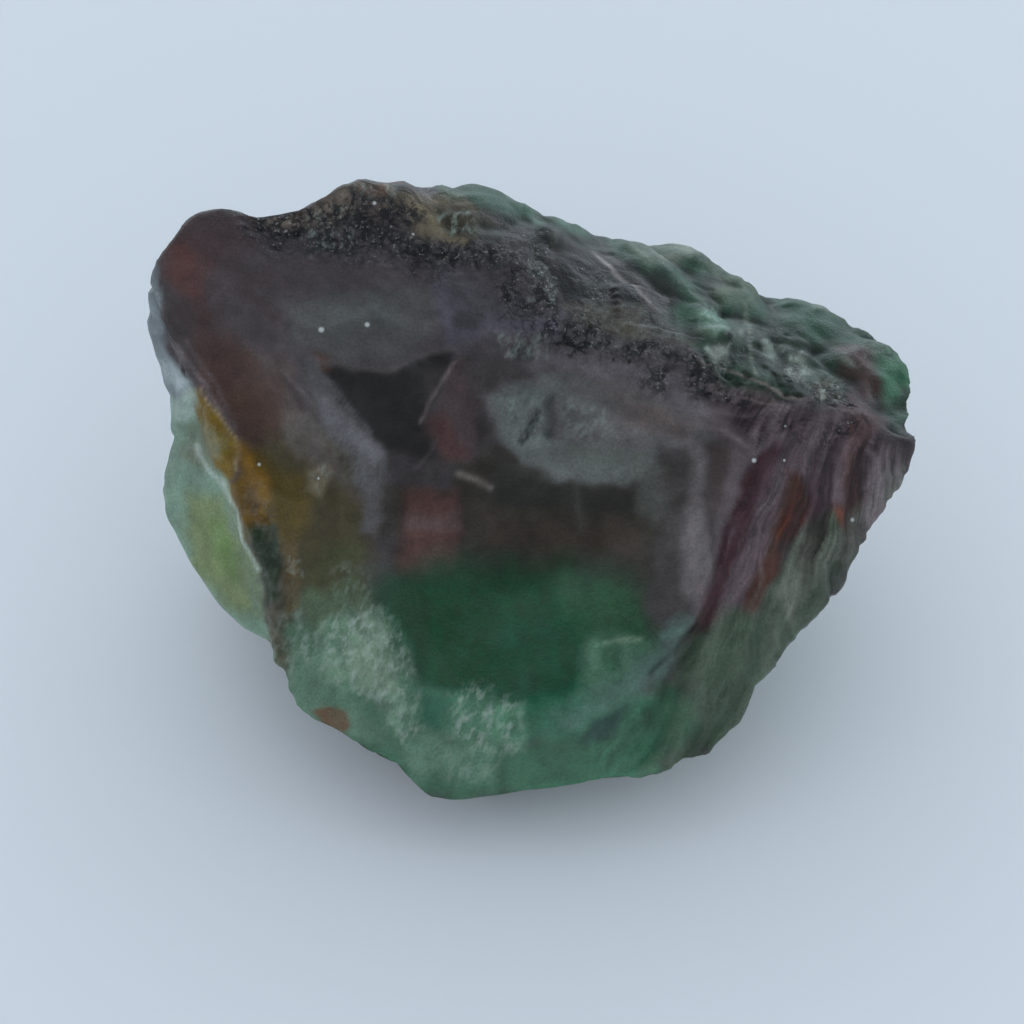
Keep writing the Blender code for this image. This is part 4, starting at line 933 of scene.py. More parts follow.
    "lobe strip": ([(-11, 4.6), (-10.6, 3.8), (-10.2, 2.4), (-9.9, 1.1), (-9.9, 0.2), (-10.5, 1.1),
        (-10.8, 2.6), (-11.1, 4)], (124, 144, 134), 0.12, 0.6, 0.3),
    "lobe yellow": ([(-13, 5), (-11.2, 4.8), (-10.4, 2.5), (-9.9, -0.1), (-11.1, 0.2), (-12.7, 1.9)],
        (112, 128, 88), 0.4, 0.9, 0.2),
    "lobe green": ([(-12.1, 4), (-11.1, 4), (-10.7, 2.3), (-11, 1.1), (-12.1, 2.3)], (88, 118, 66), 0.4,
        0.85, 0.3),
    "frosty side": ([(-14.7, 13.9), (-13.9, 14), (-13.9, 12.5), (-13.7, 11.1), (-13.2, 10), (-12.5, 9.1),
        (-13.6, 8.6), (-14.9, 11.3)], (108, 120, 129), 0.14, 0.95, 0.15),
    "frosty glint": ([(-14, 10.1), (-13.4, 10.2), (-12.8, 9.3), (-13.3, 9)], (150, 166, 174), 0.2, 0.8,
        0.2),
}
colourLines = {                # line (across, up), seen colour, half width, strength
    "wedge line": ([(-2.3, 10), (-3, 8.9), (-3.5, 7.7)], (94, 88, 92), 0.09, 0.85),
    "wedge foot": ([(-2.9, 7), (-3.4, 6.4), (-4, 5.8)], (76, 72, 76), 0.09, 0.7),
    "hollow lip": ([(-7.5, 10), (-6.6, 9.9), (-5, 9.8), (-4.3, 10.2), (-2.4, 10.6)], (84, 83, 86), 0.12,
        0.55),
    # painted highlight along the edge of the slanting rib
    "strip highlight edge": ([(-7.6, 10.1), (-7.1, 9.1), (-6.4, 8.1), (-5.5, 7.2)], (96, 98, 104), 0.1, 0.5),
    "short fleck": ([(-2.1, 5.7), (-1.4, 5.5), (-0.8, 5.2)], (104, 100, 100), 0.14, 0.8),
    "lobe edge": ([(-12.6, 6.8), (-12.1, 6), (-11.3, 5.2), (-10.8, 4.2), (-10.4, 2.7), (-10.1, 1.9)],
        (158, 176, 172), 0.1, 0.85),
    "edge stripe": ([(-13.3, 10.8), (-12.1, 9.2), (-11.1, 7.4)], (100, 94, 100), 0.1, 0.8),
    "edge stripe dark": ([(-13.4, 10.6), (-12.4, 9.1)], (56, 48, 52), 0.1, 0.8),
    "inner stripe": ([(-12.9, 11), (-11.5, 8.9), (-10.8, 7)], (86, 78, 82), 0.09, 0.6),
    "facet edge": ([(3.4, 14.6), (4, 14), (4.5, 13.5), (5.5, 12.5)], (150, 150, 155), 0.08, 0.85),
    "facet twin": ([(3.8, 14.6), (5.1, 13.6), (6.2, 12.7)], (116, 116, 122), 0.08, 0.6),
    "crest line": ([(7.6, 8.2), (9, 8), (10.2, 8.1), (11.6, 8.4)], (100, 96, 104), 0.12, 0.6),
    "crest line low": ([(7.4, 7.5), (8.8, 7), (9.5, 6.4)], (100, 94, 102), 0.14, 0.7),
    "shelf line": ([(7.4, 9.9), (9.1, 9.5), (10.2, 8.9), (11.5, 8.5)], (126, 120, 120), 0.06, 0.75),
    "shelf line low": ([(8.1, 8.9), (9.5, 8.5), (11, 8.2)], (110, 104, 106), 0.05, 0.6),
    "shelf groove": ([(7.7, 9.4), (9.3, 9.1), (11, 8.4)], (36, 34, 36), 0.06, 0.7),
    "corner ridge": ([(11.6, 8.4), (11, 7.4), (9.5, 6.3)], (96, 90, 98), 0.12, 0.5),
    "upright streak": ([(2.6, 5.4), (2.6, 3.4)], (66, 68, 66), 0.16, 0.6),
    # painted highlight: a pale green streak on the lower face
    "green highlight streak": ([(3.7, -1.1), (5.1, -0.9)], (120, 150, 130), 0.1, 0.6),
    "slot marks": ([(7.1, -0.4), (6.3, -1.3), (5.5, -2.2)], (24, 40, 34), 0.12, 0.8),
    "far rib": ([(9.2, 12.5), (9.4, 11.1), (9.5, 9.6)], (118, 132, 124), 0.07, 0.7),
    "maroon core": ([(10.3, 6.5), (9.5, 4.9), (9, 3.5), (8.3, 2.1), (7.7, 1)], (44, 25, 31), 0.3, 0.75),
    "rib shade": ([(8.9, 12.4), (9.2, 10.9), (9.2, 9.4)], (34, 42, 38), 0.09, 0.7),
    "frost seam": ([(8.5, 11.1), (8.7, 10.3), (8.5, 9.4)], (26, 32, 30), 0.08, 0.8),
    "far rib dark": ([(9.6, 11.9), (9.9, 10.5), (10.5, 9.4), (11.4, 8.7)], (32, 40, 36), 0.13, 0.8),
    "facet side": ([(1.6, 14.7), (1.7, 13.5), (1.8, 12.1)], (28, 29, 29), 0.08, 0.9),
    "facet crown": ([(1.8, 14.2), (2.5, 14.5), (3.5, 14.6)], (34, 36, 36), 0.08, 0.8),
    "flake rim": ([(-12.2, 8.9), (-11.8, 8.3), (-10.9, 7), (-10.8, 5.8)], (146, 136, 112), 0.06, 0.7),
    "strip seam": ([(-9.6, 10.6), (-8.7, 9.1), (-8.4, 8.2)], (50, 46, 48), 0.12, 0.7),
    "strip vein": ([(-9, 9.7), (-8, 8.5), (-7.2, 7)], (86, 84, 88), 0.08, 0.5),
    "shelf seam": ([(-5.1, 14), (-3.2, 13.8), (-1.7, 13.5)], (96, 96, 102), 0.05, 0.5),
}
gritShares = {                 # how strong the grit is in each zone, and how far its clumps shake the shapes
    "band": 0.5,
    "near": 0.5,
    "nearShift": 0.3,          # how far the middle of the grit lies on the far side of the band's line
    "chipped": 0.3,
    "rim": 0.4,
    "clumps": 0.4,
}
gritShapes = {                 # the grittiest places of the rough band (across, up)
    "upper left": [(-8.4, 16.3), (-6.2, 16.8), (-3.2, 16), (-4.4, 14.6), (-8, 14.4)],
    "dark seam": [(-5, 15.5), (-2.8, 15.1), (-0.5, 14.7), (1.4, 14), (-0.5, 13.6), (-2.8, 13.9),
        (-4.9, 14.3)],
    "fleck patch": [(0.5, 14), (1.7, 14), (1.8, 12.4), (0.7, 12.5)],
    "black seam": [(1.9, 11.7), (3.6, 11.7), (3.9, 10.9), (3.5, 10.6), (2, 10.7)],
    "thin seam": [(3.7, 10.9), (5.5, 10.9), (7.7, 10.2), (7.5, 9.7), (5.5, 10.2), (3.7, 10.6)],
    "seam end": [(11.5, 9.3), (13.3, 9.4), (13.3, 8.1), (11.7, 8.1)],
    "shelf cracks": [(7.9, 9.1), (9.3, 8.9), (9.5, 8.2), (8.2, 8.4)],
}
paleShares = {"lumps": 0.3, "hidden": 0.35}   # how pale the far rim's lump tops turn as painted glints, and how much pale crystal the hidden sides show
paleShapes = {                 # feathery pale crystal: corners (across, up), softness, strength
    "left cloud": ([(-7.5, -0.2), (-6.4, 0.4), (-5.1, 0.4), (-4.3, -1.3), (-3.9, -2.9), (-4.4, -3.9),
        (-5.5, -3.2), (-6.6, -2.8), (-7.5, -2)], 0.4, 1),
    "cloud tail": ([(-5, -2.9), (-3.7, -2.9), (-3.5, -4.5), (-4.3, -5.2), (-5, -4.3)], 0.3, 0.9),
    "right cloud": ([(-2.4, -3.1), (-1.3, -2.6), (0.5, -3.4), (0.4, -5.2), (-1.3, -5.3), (-2.5, -4.8)],
        0.35, 1),
    "small cloud": ([(-8.5, -0.5), (-7.7, -0.5), (-7.7, -1.7), (-8.4, -1.8)], 0.25, 0.8),
    "low cloud": ([(-2.8, -5.3), (-0.5, -5.2), (-0.5, -6.4), (-2.5, -6.7)], 0.4, 0.5),
    # pale texture on the painted glints of the glassy lumps, with some frosty crystal
    "frost glint crystal": (colourShapes["frost glint crystal"][0], 0.15, 0.45),
    "frost glint left": ([(7.6, 10.6), (8.5, 10.7), (8.7, 9.9), (8.1, 9.4), (7.5, 9.9)], 0.13, 0.7),
    "frost glint middle": ([(9.8, 11), (10.7, 11.2), (11, 10.6), (10.5, 10), (9.9, 10.2)], 0.13, 0.7),
    "frost glint right": ([(10.8, 10.4), (11.6, 10.6), (11.9, 9.8), (11.5, 9.2), (10.9, 9.4)], 0.13, 0.7),
    "yellow grit": ([(11.6, 9.4), (12.9, 9.4), (13.2, 8.4), (12, 8.3)], 0.2, 0.7),
    "chipped edge": ([(-10.9, 5.6), (-10.4, 3.8), (-9.9, 2.3), (-9.3, -0.1), (-8.4, -0.9), (-8.4, 0.7),
        (-8.8, 2.3), (-9.3, 3.8), (-9.9, 5.4)], 0.25, 0.15),
    "edge foot": ([(-9.6, -0.1), (-8.4, 0.3), (-8.2, -1.7), (-9, -2.9), (-9.5, -1.7)], 0.2, 0.5),
    "olive flecks": ([(-7, 2), (-5.6, 1.9), (-5.5, -0.2), (-7, -0.3)], 0.3, 0.35),
    "olive fleck": ([(-9, 2.5), (-8.3, 2.3), (-8.1, 1.5), (-8.9, 1.6)], 0.1, 0.6),
    "high fleck": ([(-8.1, 5.6), (-7.4, 6), (-7.1, 5.7), (-7.8, 5.1)], 0.15, 0.35),
    "scratched crest": ([(-0.6, 11.3), (1.4, 11.3), (1.5, 10.2), (-0.5, 10.2)], 0.12, 0.4),
    "peak": ([(-6.6, 17.3), (-4.7, 17.4), (-4.6, 16.6), (-6.3, 16.6)], 0.2, 0.8),
    "crust left": ([(-8.1, 16), (-6.4, 16.3), (-6.2, 14.7), (-7.9, 14.4)], 0.2, 0.6),
    "crust olive": ([(-3, 15.9), (-1.4, 15.9), (-1.4, 15.2), (-2.8, 15.1)], 0.12, 0.8),
    "fleck patch": (gritShapes["fleck patch"], 0.15, 0.7),
    "facet foot": ([(2, 12.5), (5.1, 12.3), (7, 10.9), (5.1, 10.8), (3.6, 11.3), (2.1, 11.7)], 0.2, 0.25),
    # pale texture in the painted reflection on the pearly plate
    "pearly left": ([(-0.5, 8.6), (0.7, 8.9), (1.4, 8.5), (1.3, 6.8), (0.1, 6.7)], 0.3, 0.35),
    "pearly heart": ([(1.9, 8.6), (3.6, 8.3), (3.7, 6.9), (2.1, 7)], 0.3, 0.4),
    "amber flake": ([(-12.3, 8.3), (-11.2, 7.2), (-11.1, 5.9), (-11.9, 6.4)], 0.15, 0.2),
    # pale over the slanting rib: part of its painted highlight
    "strip": ([(-8.5, 7.8), (-7.2, 7.4), (-5.5, 7), (-5.1, 6.2), (-5.4, 4.6), (-6.6, 5.8)], 0.3, 0.15),
}
finishes = {
    "roughness": 0.45,
    "clearness": 0.0,
    "hiddenRoughness": 0.45,
    "hiddenClearness": 0.2,
    "roughPatch": 0.10,        # more or less roughness in patches
    "bandRoughness": 0.25,     # added in the rough band
    "bandClearness": 0.2,      # share of the clearness that is left there
    "roughLimits": (0.12, 0.9),
}
finishShapes = {               # corners (across, up), roughness, clearness, softness
    "green heart": ([(-6.5, 1.6), (-3, 2.4), (0, 3), (3.6, 2.4), (5.8, 0.8), (5.8, -1.8), (3.5, -3.6),
        (1.3, -4.6), (-0.8, -4), (-5.8, -1)], 0.34, 0.12, 1.2),
    "green foot": ([(-9.2, -0.4), (-6, -1.5), (-2, -3.4), (2, -4.2), (6, -4), (9.6, -2.4), (8, -6.4),
        (-4, -8), (-10, -4)], 0.38, 0.12, 0.8),
    "right foot": ([(9.6, 0.6), (12.4, 3.2), (14.4, 4.2), (13.6, 0.4), (9.8, -3.2)], 0.36, 0.15, 0.8),
    "amber": ([(-12.6, 9.2), (-9.5, 6.8), (-7.6, 3.2), (-9.6, 2.2), (-12.4, 6.6)], 0.3, 0.1, 0.5),
    "far rim": ([(-3, 17.8), (-2.9, 16.3), (0.8, 15.2), (4.6, 13.7), (7, 12), (12.4, 9.4), (15, 7.6),
        (17, 8), (16, 11), (9, 15), (2, 17.8)], 0.5, 0.12, 0.5),
    "lobe": ([(-15, 14.2), (-13.7, 14), (-12.6, 9.8), (-11.2, 5.4), (-9.7, 2.8), (-8.9, -1.4), (-12, -1.5),
        (-15, 3.8)], 0.36, 0.2, 0.3),
}


def seenColour(colour):        # linear light of a colour given as 0 to 255
    share = np.array(colour, float) / 255
    return np.where(share > 0.04045, ((share + 0.055) / 1.055) ** 2.4, share / 12.92)


# seen light less the sheen, over the room light: a plain part, plus parts by how far it faces up and back
def surfaceColour(seen, normals):
    look = stoneColours
    reach = look["roomPlain"] + look["roomUp"] * normals[:, 2] + look["roomBack"] * normals[:, 1]
    room = np.array(daylight)
    return np.clip((seen - look["sheen"] * room) / (reach[:, None] * room), look["darkest"], 1)


def layOver(tint, colour, cover):   # tint times what the cover leaves free, plus the colour times the cover
    return tint * (1 - cover[:, None]) + seenColour(colour) * cover[:, None]


def wash(tint, name, cover):   # lays the named wash over the tint, its strength times the cover
    colour, strength = washes[name]
    return layOver(tint, colour, strength * cover)


# the bands are a sine of the height along their axis plus a slow noise; thin veils lie where it crosses zero,
# clouds and rust where their noises are high, and dust where the chips stand out
def paintHiddenSides(points, zones):
    bands = hiddenBands
    level = points @ np.array(bands["axis"]) / bands["width"]
    wave = np.sin(pi * (level + bands["waviness"] * noiseAt("bandWave", points)))
    fine = noiseAt("bandFine", points)
    veil = np.exp(-(((wave + bands["veilShare"] * fine) / bands["veilWidth"]) ** 2))
    tint = np.tile(seenColour(stoneColours["hiddenGreen"]), (len(points), 1))
    tint = wash(tint, "hiddenDark", fade("hiddenDark", wave + bands["fineShare"] * fine))
    tint = wash(tint, "hiddenVeil", veil * fade("hiddenVeil", fine))
    tint = wash(tint, "hiddenCloud", fade("hiddenCloud", noiseAt("hiddenCloud", points)))
    tint = wash(tint, "hiddenRust", fade("hiddenRust", noiseAt("hiddenRust", points)))
    return wash(tint, "hiddenWorn", fade("hiddenWorn", zones["scoops"]) * fade("wornFine", fine))


# painted light on the raised ridges and painted shade in the grooves between them, by the ridges' noise, with
# other colours low on the side
def paintGrooves(tint, points, zones):
    ridges = zones["ridges"] + grain["grooveShare"] * noiseAt("grooves", zones["flow"])
    height = zones["places"][:, 1]
    sides = {"highSide": ("ridgePaintedLight", "groovePaintedShade"), "lowSide": ("lowRidgePaintedLight", "lowGroovePaintedShade")}
    for side, names in sides.items():
        for name in names:
            tint = wash(tint, name, zones["right"] * fade(side, height) * fade(name, ridges))
    return tint


# noise drawn out down a slope high on the face, and upright lower down
def grainStreaks(places):
    right, height = places[:, 0], places[:, 1]
    level = np.zeros(len(places))
    downSlope = grain["length"] * (right - grain["slope"] * height)
    overSlope = grain["slopeWidth"] * (height + grain["slope"] * right)
    upright = np.stack([grain["uprightWidth"] * right, grain["length"] * height, level], -1)
    share = fade("uprightGrain", height + grain["border"] * right)
    sloping = noiseAt("sloping", np.stack([downSlope, overSlope, level], -1))
    return sloping * (1 - share) + noiseAt("upright", upright) * share


# the base colour, then each shape laid over it where a place is inside; noise shakes the places and wears the
# cover; the hidden sides take over where the facing turns away
def paintStone(points, zones):
    places = zones["places"]
    shake = noiseAxes("shake", points)
    worn = fade("worn", noiseAt("worn", points))
    tint = np.tile(seenColour(stoneColours["body"]), (len(points), 1))
    for corners, colour, soft, strength, wornShare in colourShapes.values():
        loose = places + min(stoneColours["shakeMost"], stoneColours["shake"] * soft) * shake
        cover = strength * ease(-soft, soft, insideShape(loose, corners))
        tint = layOver(tint, colour, cover * (1 - wornShare * worn))
    tint = paintGrooves(tint, points, zones)
    # painted shade in the gaps between the far rim's lumps, and painted glints on their tops
    lumpGlintTops = zones["beyond"] * (1 - zones["facets"]) * fade("lumpGlint", zones["lumps"])
    tint = wash(tint, "lumpGapShade", zones["beyond"] * fade("lumpGapShade", zones["lumps"]))
    tint = wash(tint, "lumpGlint", lumpGlintTops * worn)
    for line, colour, halfWidth, strength in colourLines.values():
        cover = strength * ridgeOver(places, line, halfWidth)
        tint = layOver(tint, colour, cover * (1 - stoneColours["wornLine"] * worn))
    seen = fade("seen", zones["facing"])[:, None]
    tint = tint * seen + paintHiddenSides(points, zones) * (1 - seen)
    mottle = 1 + stoneColours["streaks"] * zones["front"] * grainStreaks(places)
    for name in ("mottle", "drift"):
        mottle = mottle + stoneColours[name] * noiseAt(name, points)
    return surfaceColour(tint * mottle[:, None], zones["normals"])


# clumps of noise in the rough band and beside it, in the grit shapes, on the chipped edge and on the far rim
def gritCover(points, zones):
    clumps = noiseAt("clumps", points)
    bandGap = np.abs(signedDistance(zones["places"], roughBand) - gritShares["nearShift"])
    near = fade("nearBand", bandGap) * fade("nearFacing", zones["facing"])
    cover = gritShares["band"] * zones["band"] * fade("bandGrit", clumps)
    cover = cover + gritShares["near"] * near * fade("nearGrit", clumps)
    for corners in gritShapes.values():
        inside = insideShape(zones["places"], corners) + gritShares["clumps"] * clumps
        cover = np.maximum(cover, fade("gritEdge", inside))
    cover = cover + gritShares["chipped"] * zones["chipped"] * fade("chippedGrit", clumps)
    cover = cover + gritShares["rim"] * zones["beyond"] * fade("rimGrit", clumps)
    return np.clip(cover * fade("hiddenGrit", zones["facing"]), 0, 1)


# the highest of: the pale shapes, the tops of the lumps as painted glints, and a slow noise on the broken
# sides
def paleCover(points, zones):
    loose = zones["places"] + stoneColours["paleShake"] * noiseAxes("paleShake", points)
    cover = np.zeros(len(points))
    for corners, soft, strength in paleShapes.values():
        cover = np.maximum(cover, strength * ease(-soft, soft, insideShape(loose, corners)))
    lumpGlintTops = zones["beyond"] * (1 - zones["facets"]) * fade("paleLumpGlints", zones["lumps"])
    hidden = zones["broken"] * fade("hiddenPale", noiseAt("hiddenPale", points))
    cover = np.maximum(cover * fade("seen", zones["facing"]), paleShares["lumps"] * lumpGlintTops)
    return np.clip(np.maximum(cover, paleShares["hidden"] * hidden), 0, 1)


def blended(values, value, cover):   # values times what the cover leaves free, plus the value times the cover
    return values * (1 - cover) + value * cover


# roughness and clearness, each shape eased over the one before, then patches and the rough band
def paintFinish(points, zones):
    loose = zones["places"] + stoneColours["finishShake"] * noiseAxes("finishShake", points)
    rough = np.full(len(points), finishes["roughness"])
    clear = np.full(len(points), finishes["clearness"])
    for corners, shapeRough, shapeClear, soft in finishShapes.values():
        cover = ease(-soft, soft, insideShape(loose, corners))
        rough = blended(rough, shapeRough, cover)
        clear = blended(clear, shapeClear, cover)
    hiddenSide = 1 - fade("seen", zones["facing"])
    rough = blended(rough, finishes["hiddenRoughness"], hiddenSide)
    clear = blended(clear, finishes["hiddenClearness"], hiddenSide)
    rough = rough + finishes["roughPatch"] * noiseAt("roughPatch", points)
    rough = rough + finishes["bandRoughness"] * zones["band"]
    clear = clear * (1 - (1 - finishes["bandClearness"]) * zones["band"])
    return np.clip(rough, *finishes["roughLimits"]), np.clip(clear, 0, 1)


def addLayer(name, kind, field, values):   # one value for each vertex, for the material to read
    layer = mesh.attributes.new(name, kind, "POINT")
    layer.data.foreach_set(field, values.astype(np.float32).ravel())


tint = paintStone(points, zones)
rough, clear = paintFinish(points, zones)
streakSide = blended(stoneColours["lowStreaks"], 1, fade("highSide", zones["places"][:, 1]))
addLayer("rough", "FLOAT", "value", rough)
addLayer("clear", "FLOAT", "value", clear)
addLayer("grit", "FLOAT", "value", gritCover(points, zones))
addLayer("pale", "FLOAT", "value", paleCover(points, zones))
addLayer("streak", "FLOAT", "value", zones["right"] * streakSide)
addLayer("flow", "FLOAT_VECTOR", "vector", zones["flow"])
addLayer("tint", "FLOAT_COLOR", "color", np.c_[tint, np.ones(len(tint))])
print("colours painted")

# a noise is its scale per metre and its detail; a range is noise from and to, then result from and to
crystalLook = {
    "ior": 1.57,
    "shine": 0.22,
    "bumpDepth": 0.00003,
    "mottle": (9000, 4),       # fine light and dark
    "mottleShade": (0.25, 0.75, 0.72, 1.28),
    "grit": (3000, 5),         # black pits in the gritty places
    "gritCover": (0.45, 0.56, 0, 0.92),
    "gritHeight": -5,          # against the height of the mottle
    "fleck": (7400, 2),        # pale flecks in the gritty places, painted as glints
    "glintFleckCover": (0.62, 0.70, 0, 0.65),
    "streak": (1.3, 5),        # fine lines along the grooves
    "streakShade": (0.3, 0.7, -0.6, 0.7),
    "streakHeight": 3,
    "crackScale": 1000,        # fine cracks between cells, bent by a noise
    "crackBend": (2200, 4),
    "crackReach": 0.0004,
    "crackCover": (0, 0.07, 0.9, 0),
    "feather": (1900, 7),      # feathery pale crystal
    "featherTurn": 28,         # degrees that its feathers lean, and how drawn out they are
    "featherStretch": (2.0, 1.0, 1.0),
    "featherCover": (0.46, 0.70, 0, 0.7),
    "speckCover": (0.4, 1, 0.8, 0),   # share of a speck's radius from and to, then cover from and to
    "pitColour": (0.006, 0.006, 0.007, 1),
    "glintFleckColour": (0.27, 0.26, 0.24, 1),
    "speckColour": (0.52, 0.54, 0.52, 1),
    "paleColour": (0.34, 0.41, 0.35, 1),
}
whiteSpecks = [                # (across, up), radius: white specks; the one at (9.6, 6.2) is a painted glint on the corner
    ((-7.5, 11.3), 0.15), ((-5.7, 11.5), 0.13), ((-10, 6), 0.09), ((9.6, 6.2), 0.12), ((-3.9, 15.1), 0.08),
    ((-5.4, 16.3), 0.1), ((10.8, 6.2), 0.07), ((10.8, 7.6), 0.09), ((13.5, 3.9), 0.1), ((-7.6, 5.5), 0.06),
]


# a node whose sockets are each set to a number or linked to another node's output
def addNode(tree, kind, values, **settings):
    node = tree.nodes.new("ShaderNode" + kind)
    for name, setting in settings.items():
        setattr(node, name, setting)
    for socket, value in values.items():
        if isinstance(value, bpy.types.NodeSocket):
            tree.links.new(value, node.inputs[socket])
        else:
            node.inputs[socket].default_value = value
    return node


def attributeNode(tree, name, output="Fac"):   # reads one of the mesh's own layers
    return addNode(tree, "Attribute", {}, attribute_name=name).outputs[output]


def noiseNode(tree, vector, plan, roughness=0.6, output="Fac"):   # layered noise at the vector
    scale, detail = plan
    values = {"Vector": vector, "Scale": scale, "Detail": detail, "Roughness": roughness}
    return addNode(tree, "TexNoise", values).outputs[output]


def rangeNode(tree, value, plan):   # straight line from one range to the other, clamped at its ends
    values = dict(zip(("From Min", "From Max", "To Min", "To Max"), plan))
    return addNode(tree, "MapRange", {"Value": value, **values}).outputs["Result"]


def mathNode(tree, operation, first, second):   # first and second put together by the operation
    return addNode(tree, "Math", {0: first, 1: second}, operation=operation).outputs[0]


def vectorNode(tree, operation, values):   # the same for vectors
    return addNode(tree, "VectorMath", values, operation=operation)


# the colour times what the cover leaves free, plus the other colour times the cover
def mixedColour(tree, colour, other, cover):
    return addNode(tree, "Mix", {"Factor": cover, 6: colour, 7: other}, data_type="RGBA").outputs[2]


# of the mesh's points that face out with the big face, the one nearest to a place
def speckPlace(at, leastFacing=0.1):
    gap = toFace(points)[:, :2] - np.array(at)
    distance = np.where(zones["facing"] < leastFacing, np.inf, np.hypot(gap[:, 0], gap[:, 1]))
    return points[np.argmin(distance)] * metresPerMm


def featherCover(tree, place):   # noise drawn out along a turned axis, times the pale layer
    turned = addNode(tree, "VectorRotate", {
        "Vector": place, "Axis": out, "Angle": radians(crystalLook["featherTurn"])}).outputs["Vector"]
    drawn = vectorNode(tree, "MULTIPLY", {0: turned, 1: crystalLook["featherStretch"]}).outputs["Vector"]
    feathers = rangeNode(tree, noiseNode(tree, drawn, crystalLook["feather"]), crystalLook["featherCover"])
    return mathNode(tree, "MULTIPLY", attributeNode(tree, "pale"), feathers)


def crackCover(tree, place):   # nearness to the borders of cells whose places are bent by a noise
    bend = noiseNode(tree, place, crystalLook["crackBend"], roughness=0.5, output="Color")
    bent = vectorNode(tree, "MULTIPLY_ADD", {0: bend, 1: [crystalLook["crackReach"]] * 3, 2: place})
    values = {"Vector": bent.outputs["Vector"], "Scale": crystalLook["crackScale"]}
    cells = addNode(tree, "TexVoronoi", values, feature="DISTANCE_TO_EDGE")
    return rangeNode(tree, cells.outputs["Distance"], crystalLook["crackCover"])


# the painted tint times mottle and streaks, with pale crystal, cracks, pits, flecks that are painted glints,
# and specks laid over it
def crystalColour(tree, place, mottle, pits, streakLines):
    look = crystalLook
    grit = attributeNode(tree, "grit")
    lines = rangeNode(tree, streakLines, look["streakShade"])
    streaks = mathNode(tree, "MULTIPLY", attributeNode(tree, "streak"), lines)
    glintFlecks = rangeNode(tree, noiseNode(tree, place, look["fleck"]), look["glintFleckCover"])
    colour = attributeNode(tree, "tint", "Color")
    for shade in (rangeNode(tree, mottle, look["mottleShade"]), mathNode(tree, "ADD", 1, streaks)):
        colour = vectorNode(tree, "SCALE", {0: colour, "Scale": shade}).outputs["Vector"]
    colour = mixedColour(tree, colour, look["paleColour"], featherCover(tree, place))
    for cover, other in (
            (crackCover(tree, place), look["pitColour"]),
            (rangeNode(tree, pits, look["gritCover"]), look["pitColour"]),
            (glintFlecks, look["glintFleckColour"])):
        colour = mixedColour(tree, colour, other, mathNode(tree, "MULTIPLY", grit, cover))
    for at, radius in whiteSpecks:
        gap = vectorNode(tree, "DISTANCE", {0: place, 1: speckPlace(at)}).outputs["Value"]
        share = mathNode(tree, "DIVIDE", gap, metresPerMm * radius)
        cover = rangeNode(tree, share, look["speckCover"])
        colour = mixedColour(tree, colour, look["speckColour"], cover)
    return colour


def crystalMaterial():         # cloudy crystal: painted colour, roughness and clearness, with a fine bump
    look = crystalLook
    material = bpy.data.materials.new("greenBrownCrystal")
    material.use_nodes = True
    tree = material.node_tree
    place = addNode(tree, "TexCoord", {}).outputs["Object"]
    mottle = noiseNode(tree, place, look["mottle"])
    pits = noiseNode(tree, place, look["grit"])
    streakLines = noiseNode(tree, attributeNode(tree, "flow", "Vector"), look["streak"])
    height = mottle            # plus the pits and the lines, times their layers and heights
    for layer, noise in (("grit", pits), ("streak", streakLines)):
        part = mathNode(tree, "MULTIPLY", noise, look[layer + "Height"])
        height = mathNode(tree, "ADD", height, mathNode(tree, "MULTIPLY", attributeNode(tree, layer), part))
    bump = addNode(tree, "Bump", {"Distance": look["bumpDepth"], "Height": height})
    shader = tree.nodes["Principled BSDF"]
    shader.inputs["IOR"].default_value = look["ior"]
    shader.inputs["Specular IOR Level"].default_value = look["shine"]
    for socket, output in (
            ("Base Color", crystalColour(tree, place, mottle, pits, streakLines)),
            ("Normal", bump.outputs["Normal"]),
            ("Roughness", attributeNode(tree, "rough")),
            ("Transmission Weight", attributeNode(tree, "clear"))):
        tree.links.new(output, shader.inputs[socket])
    return material


mesh.materials.append(crystalMaterial())
print("crystal made")

studio = {
    "floorSize": 4.0,
    "floorColour": (0.70, 0.72, 0.745, 1),
    "floorRoughness": 0.9,
    "roomLight": 0.42,         # light from straight above
    "lowLight": 1.95,          # added towards the horizon, all round
    "lowBackLight": 4.8,       # added towards the horizon behind the stone
    "lowPower": 2,             # higher keeps the low light nearer the horizon
    "windowPlace": (0.0, 0.95, 0.95),   # a soft light behind and above, aimed at the stone
    "windowSize": (1.4, 0.8),
    "windowPower": 2.5,
    "viewHeight": 50,          # degrees above the floor
    "viewDistance": 0.6,
    "viewWidth": 0.04047,      # metres across the frame at the aim point
    "aim": (0.0, -0.00157, 0.00833),
    "sensorWidth": 36,
    "clip": (0.05, 5),
}


def paleFloor():               # one flat square of matt paper
    bpy.ops.mesh.primitive_plane_add(size=studio["floorSize"])
    sheet = bpy.context.object
    sheet.name = "floor"
    material = bpy.data.materials.new("palePaper")
    material.use_nodes = True
    shader = material.node_tree.nodes["Principled BSDF"]
    shader.inputs["Base Color"].default_value = studio["floorColour"]
    shader.inputs["Roughness"].default_value = studio["floorRoughness"]
    sheet.data.materials.append(material)
    return sheet


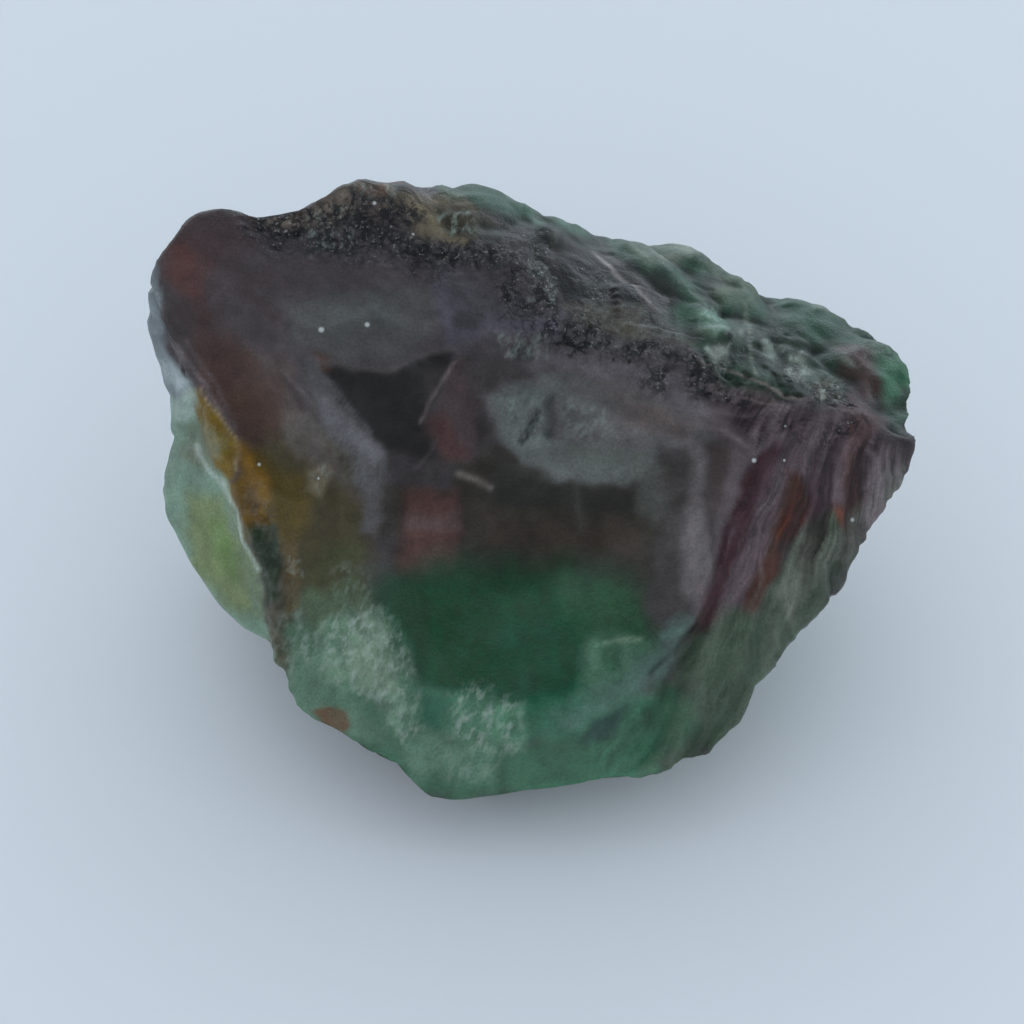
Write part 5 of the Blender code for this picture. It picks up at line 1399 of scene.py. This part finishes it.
# light from above, plus the walls' light times 1 less the height of the view to a power, most of it behind
def softRoom():
    world = bpy.data.worlds.new("softRoom")
    world.use_nodes = True
    tree = world.node_tree
    heading = addNode(tree, "SeparateXYZ", {0: addNode(tree, "TexCoord", {}).outputs["Generated"]})
    height = mathNode(tree, "MAXIMUM", heading.outputs["Z"], 0)
    behind = mathNode(tree, "MAXIMUM", heading.outputs["Y"], 0)
    lowness = mathNode(tree, "POWER", mathNode(tree, "SUBTRACT", 1, height), studio["lowPower"])
    backWall = mathNode(tree, "MULTIPLY", studio["lowBackLight"], behind)
    wall = mathNode(tree, "MULTIPLY", lowness, mathNode(tree, "ADD", studio["lowLight"], backWall))
    background = tree.nodes["Background"]
    background.inputs["Color"].default_value = (*daylight, 1)
    tree.links.new(mathNode(tree, "ADD", studio["roomLight"], wall), background.inputs["Strength"])
    return world


def placed(name, data, place, aim):   # an object at a place, its -Z along the aim
    thing = bpy.data.objects.new(name, data)
    thing.location = place
    thing.rotation_euler = aim.to_track_quat("-Z", "Y").to_euler()
    bpy.context.scene.collection.objects.link(thing)
    return thing


def windowLight():             # a rectangle that looks at the origin
    data = bpy.data.lights.new("window", "AREA")
    data.energy = studio["windowPower"]
    data.shape = "RECTANGLE"
    data.size, data.size_y = studio["windowSize"]
    data.color = daylight
    place = Vector(studio["windowPlace"])
    return placed("window", data, place, -place)


def viewCamera():              # focal length is sensor width times distance over the width that is seen
    data = bpy.data.cameras.new("camera")
    data.sensor_width = studio["sensorWidth"]
    data.lens = studio["sensorWidth"] * studio["viewDistance"] / studio["viewWidth"]
    data.clip_start, data.clip_end = studio["clip"]
    rise = radians(studio["viewHeight"])
    towardCamera = Vector((0, -cos(rise), sin(rise)))
    place = Vector(studio["aim"]) + towardCamera * studio["viewDistance"]
    return placed("camera", data, place, -towardCamera)


floor = paleFloor()
windowLight()
bpy.context.scene.world = softRoom()
bpy.context.scene.camera = viewCamera()
bpy.context.scene.view_settings.view_transform = "Standard"
print("floor, light and camera placed")
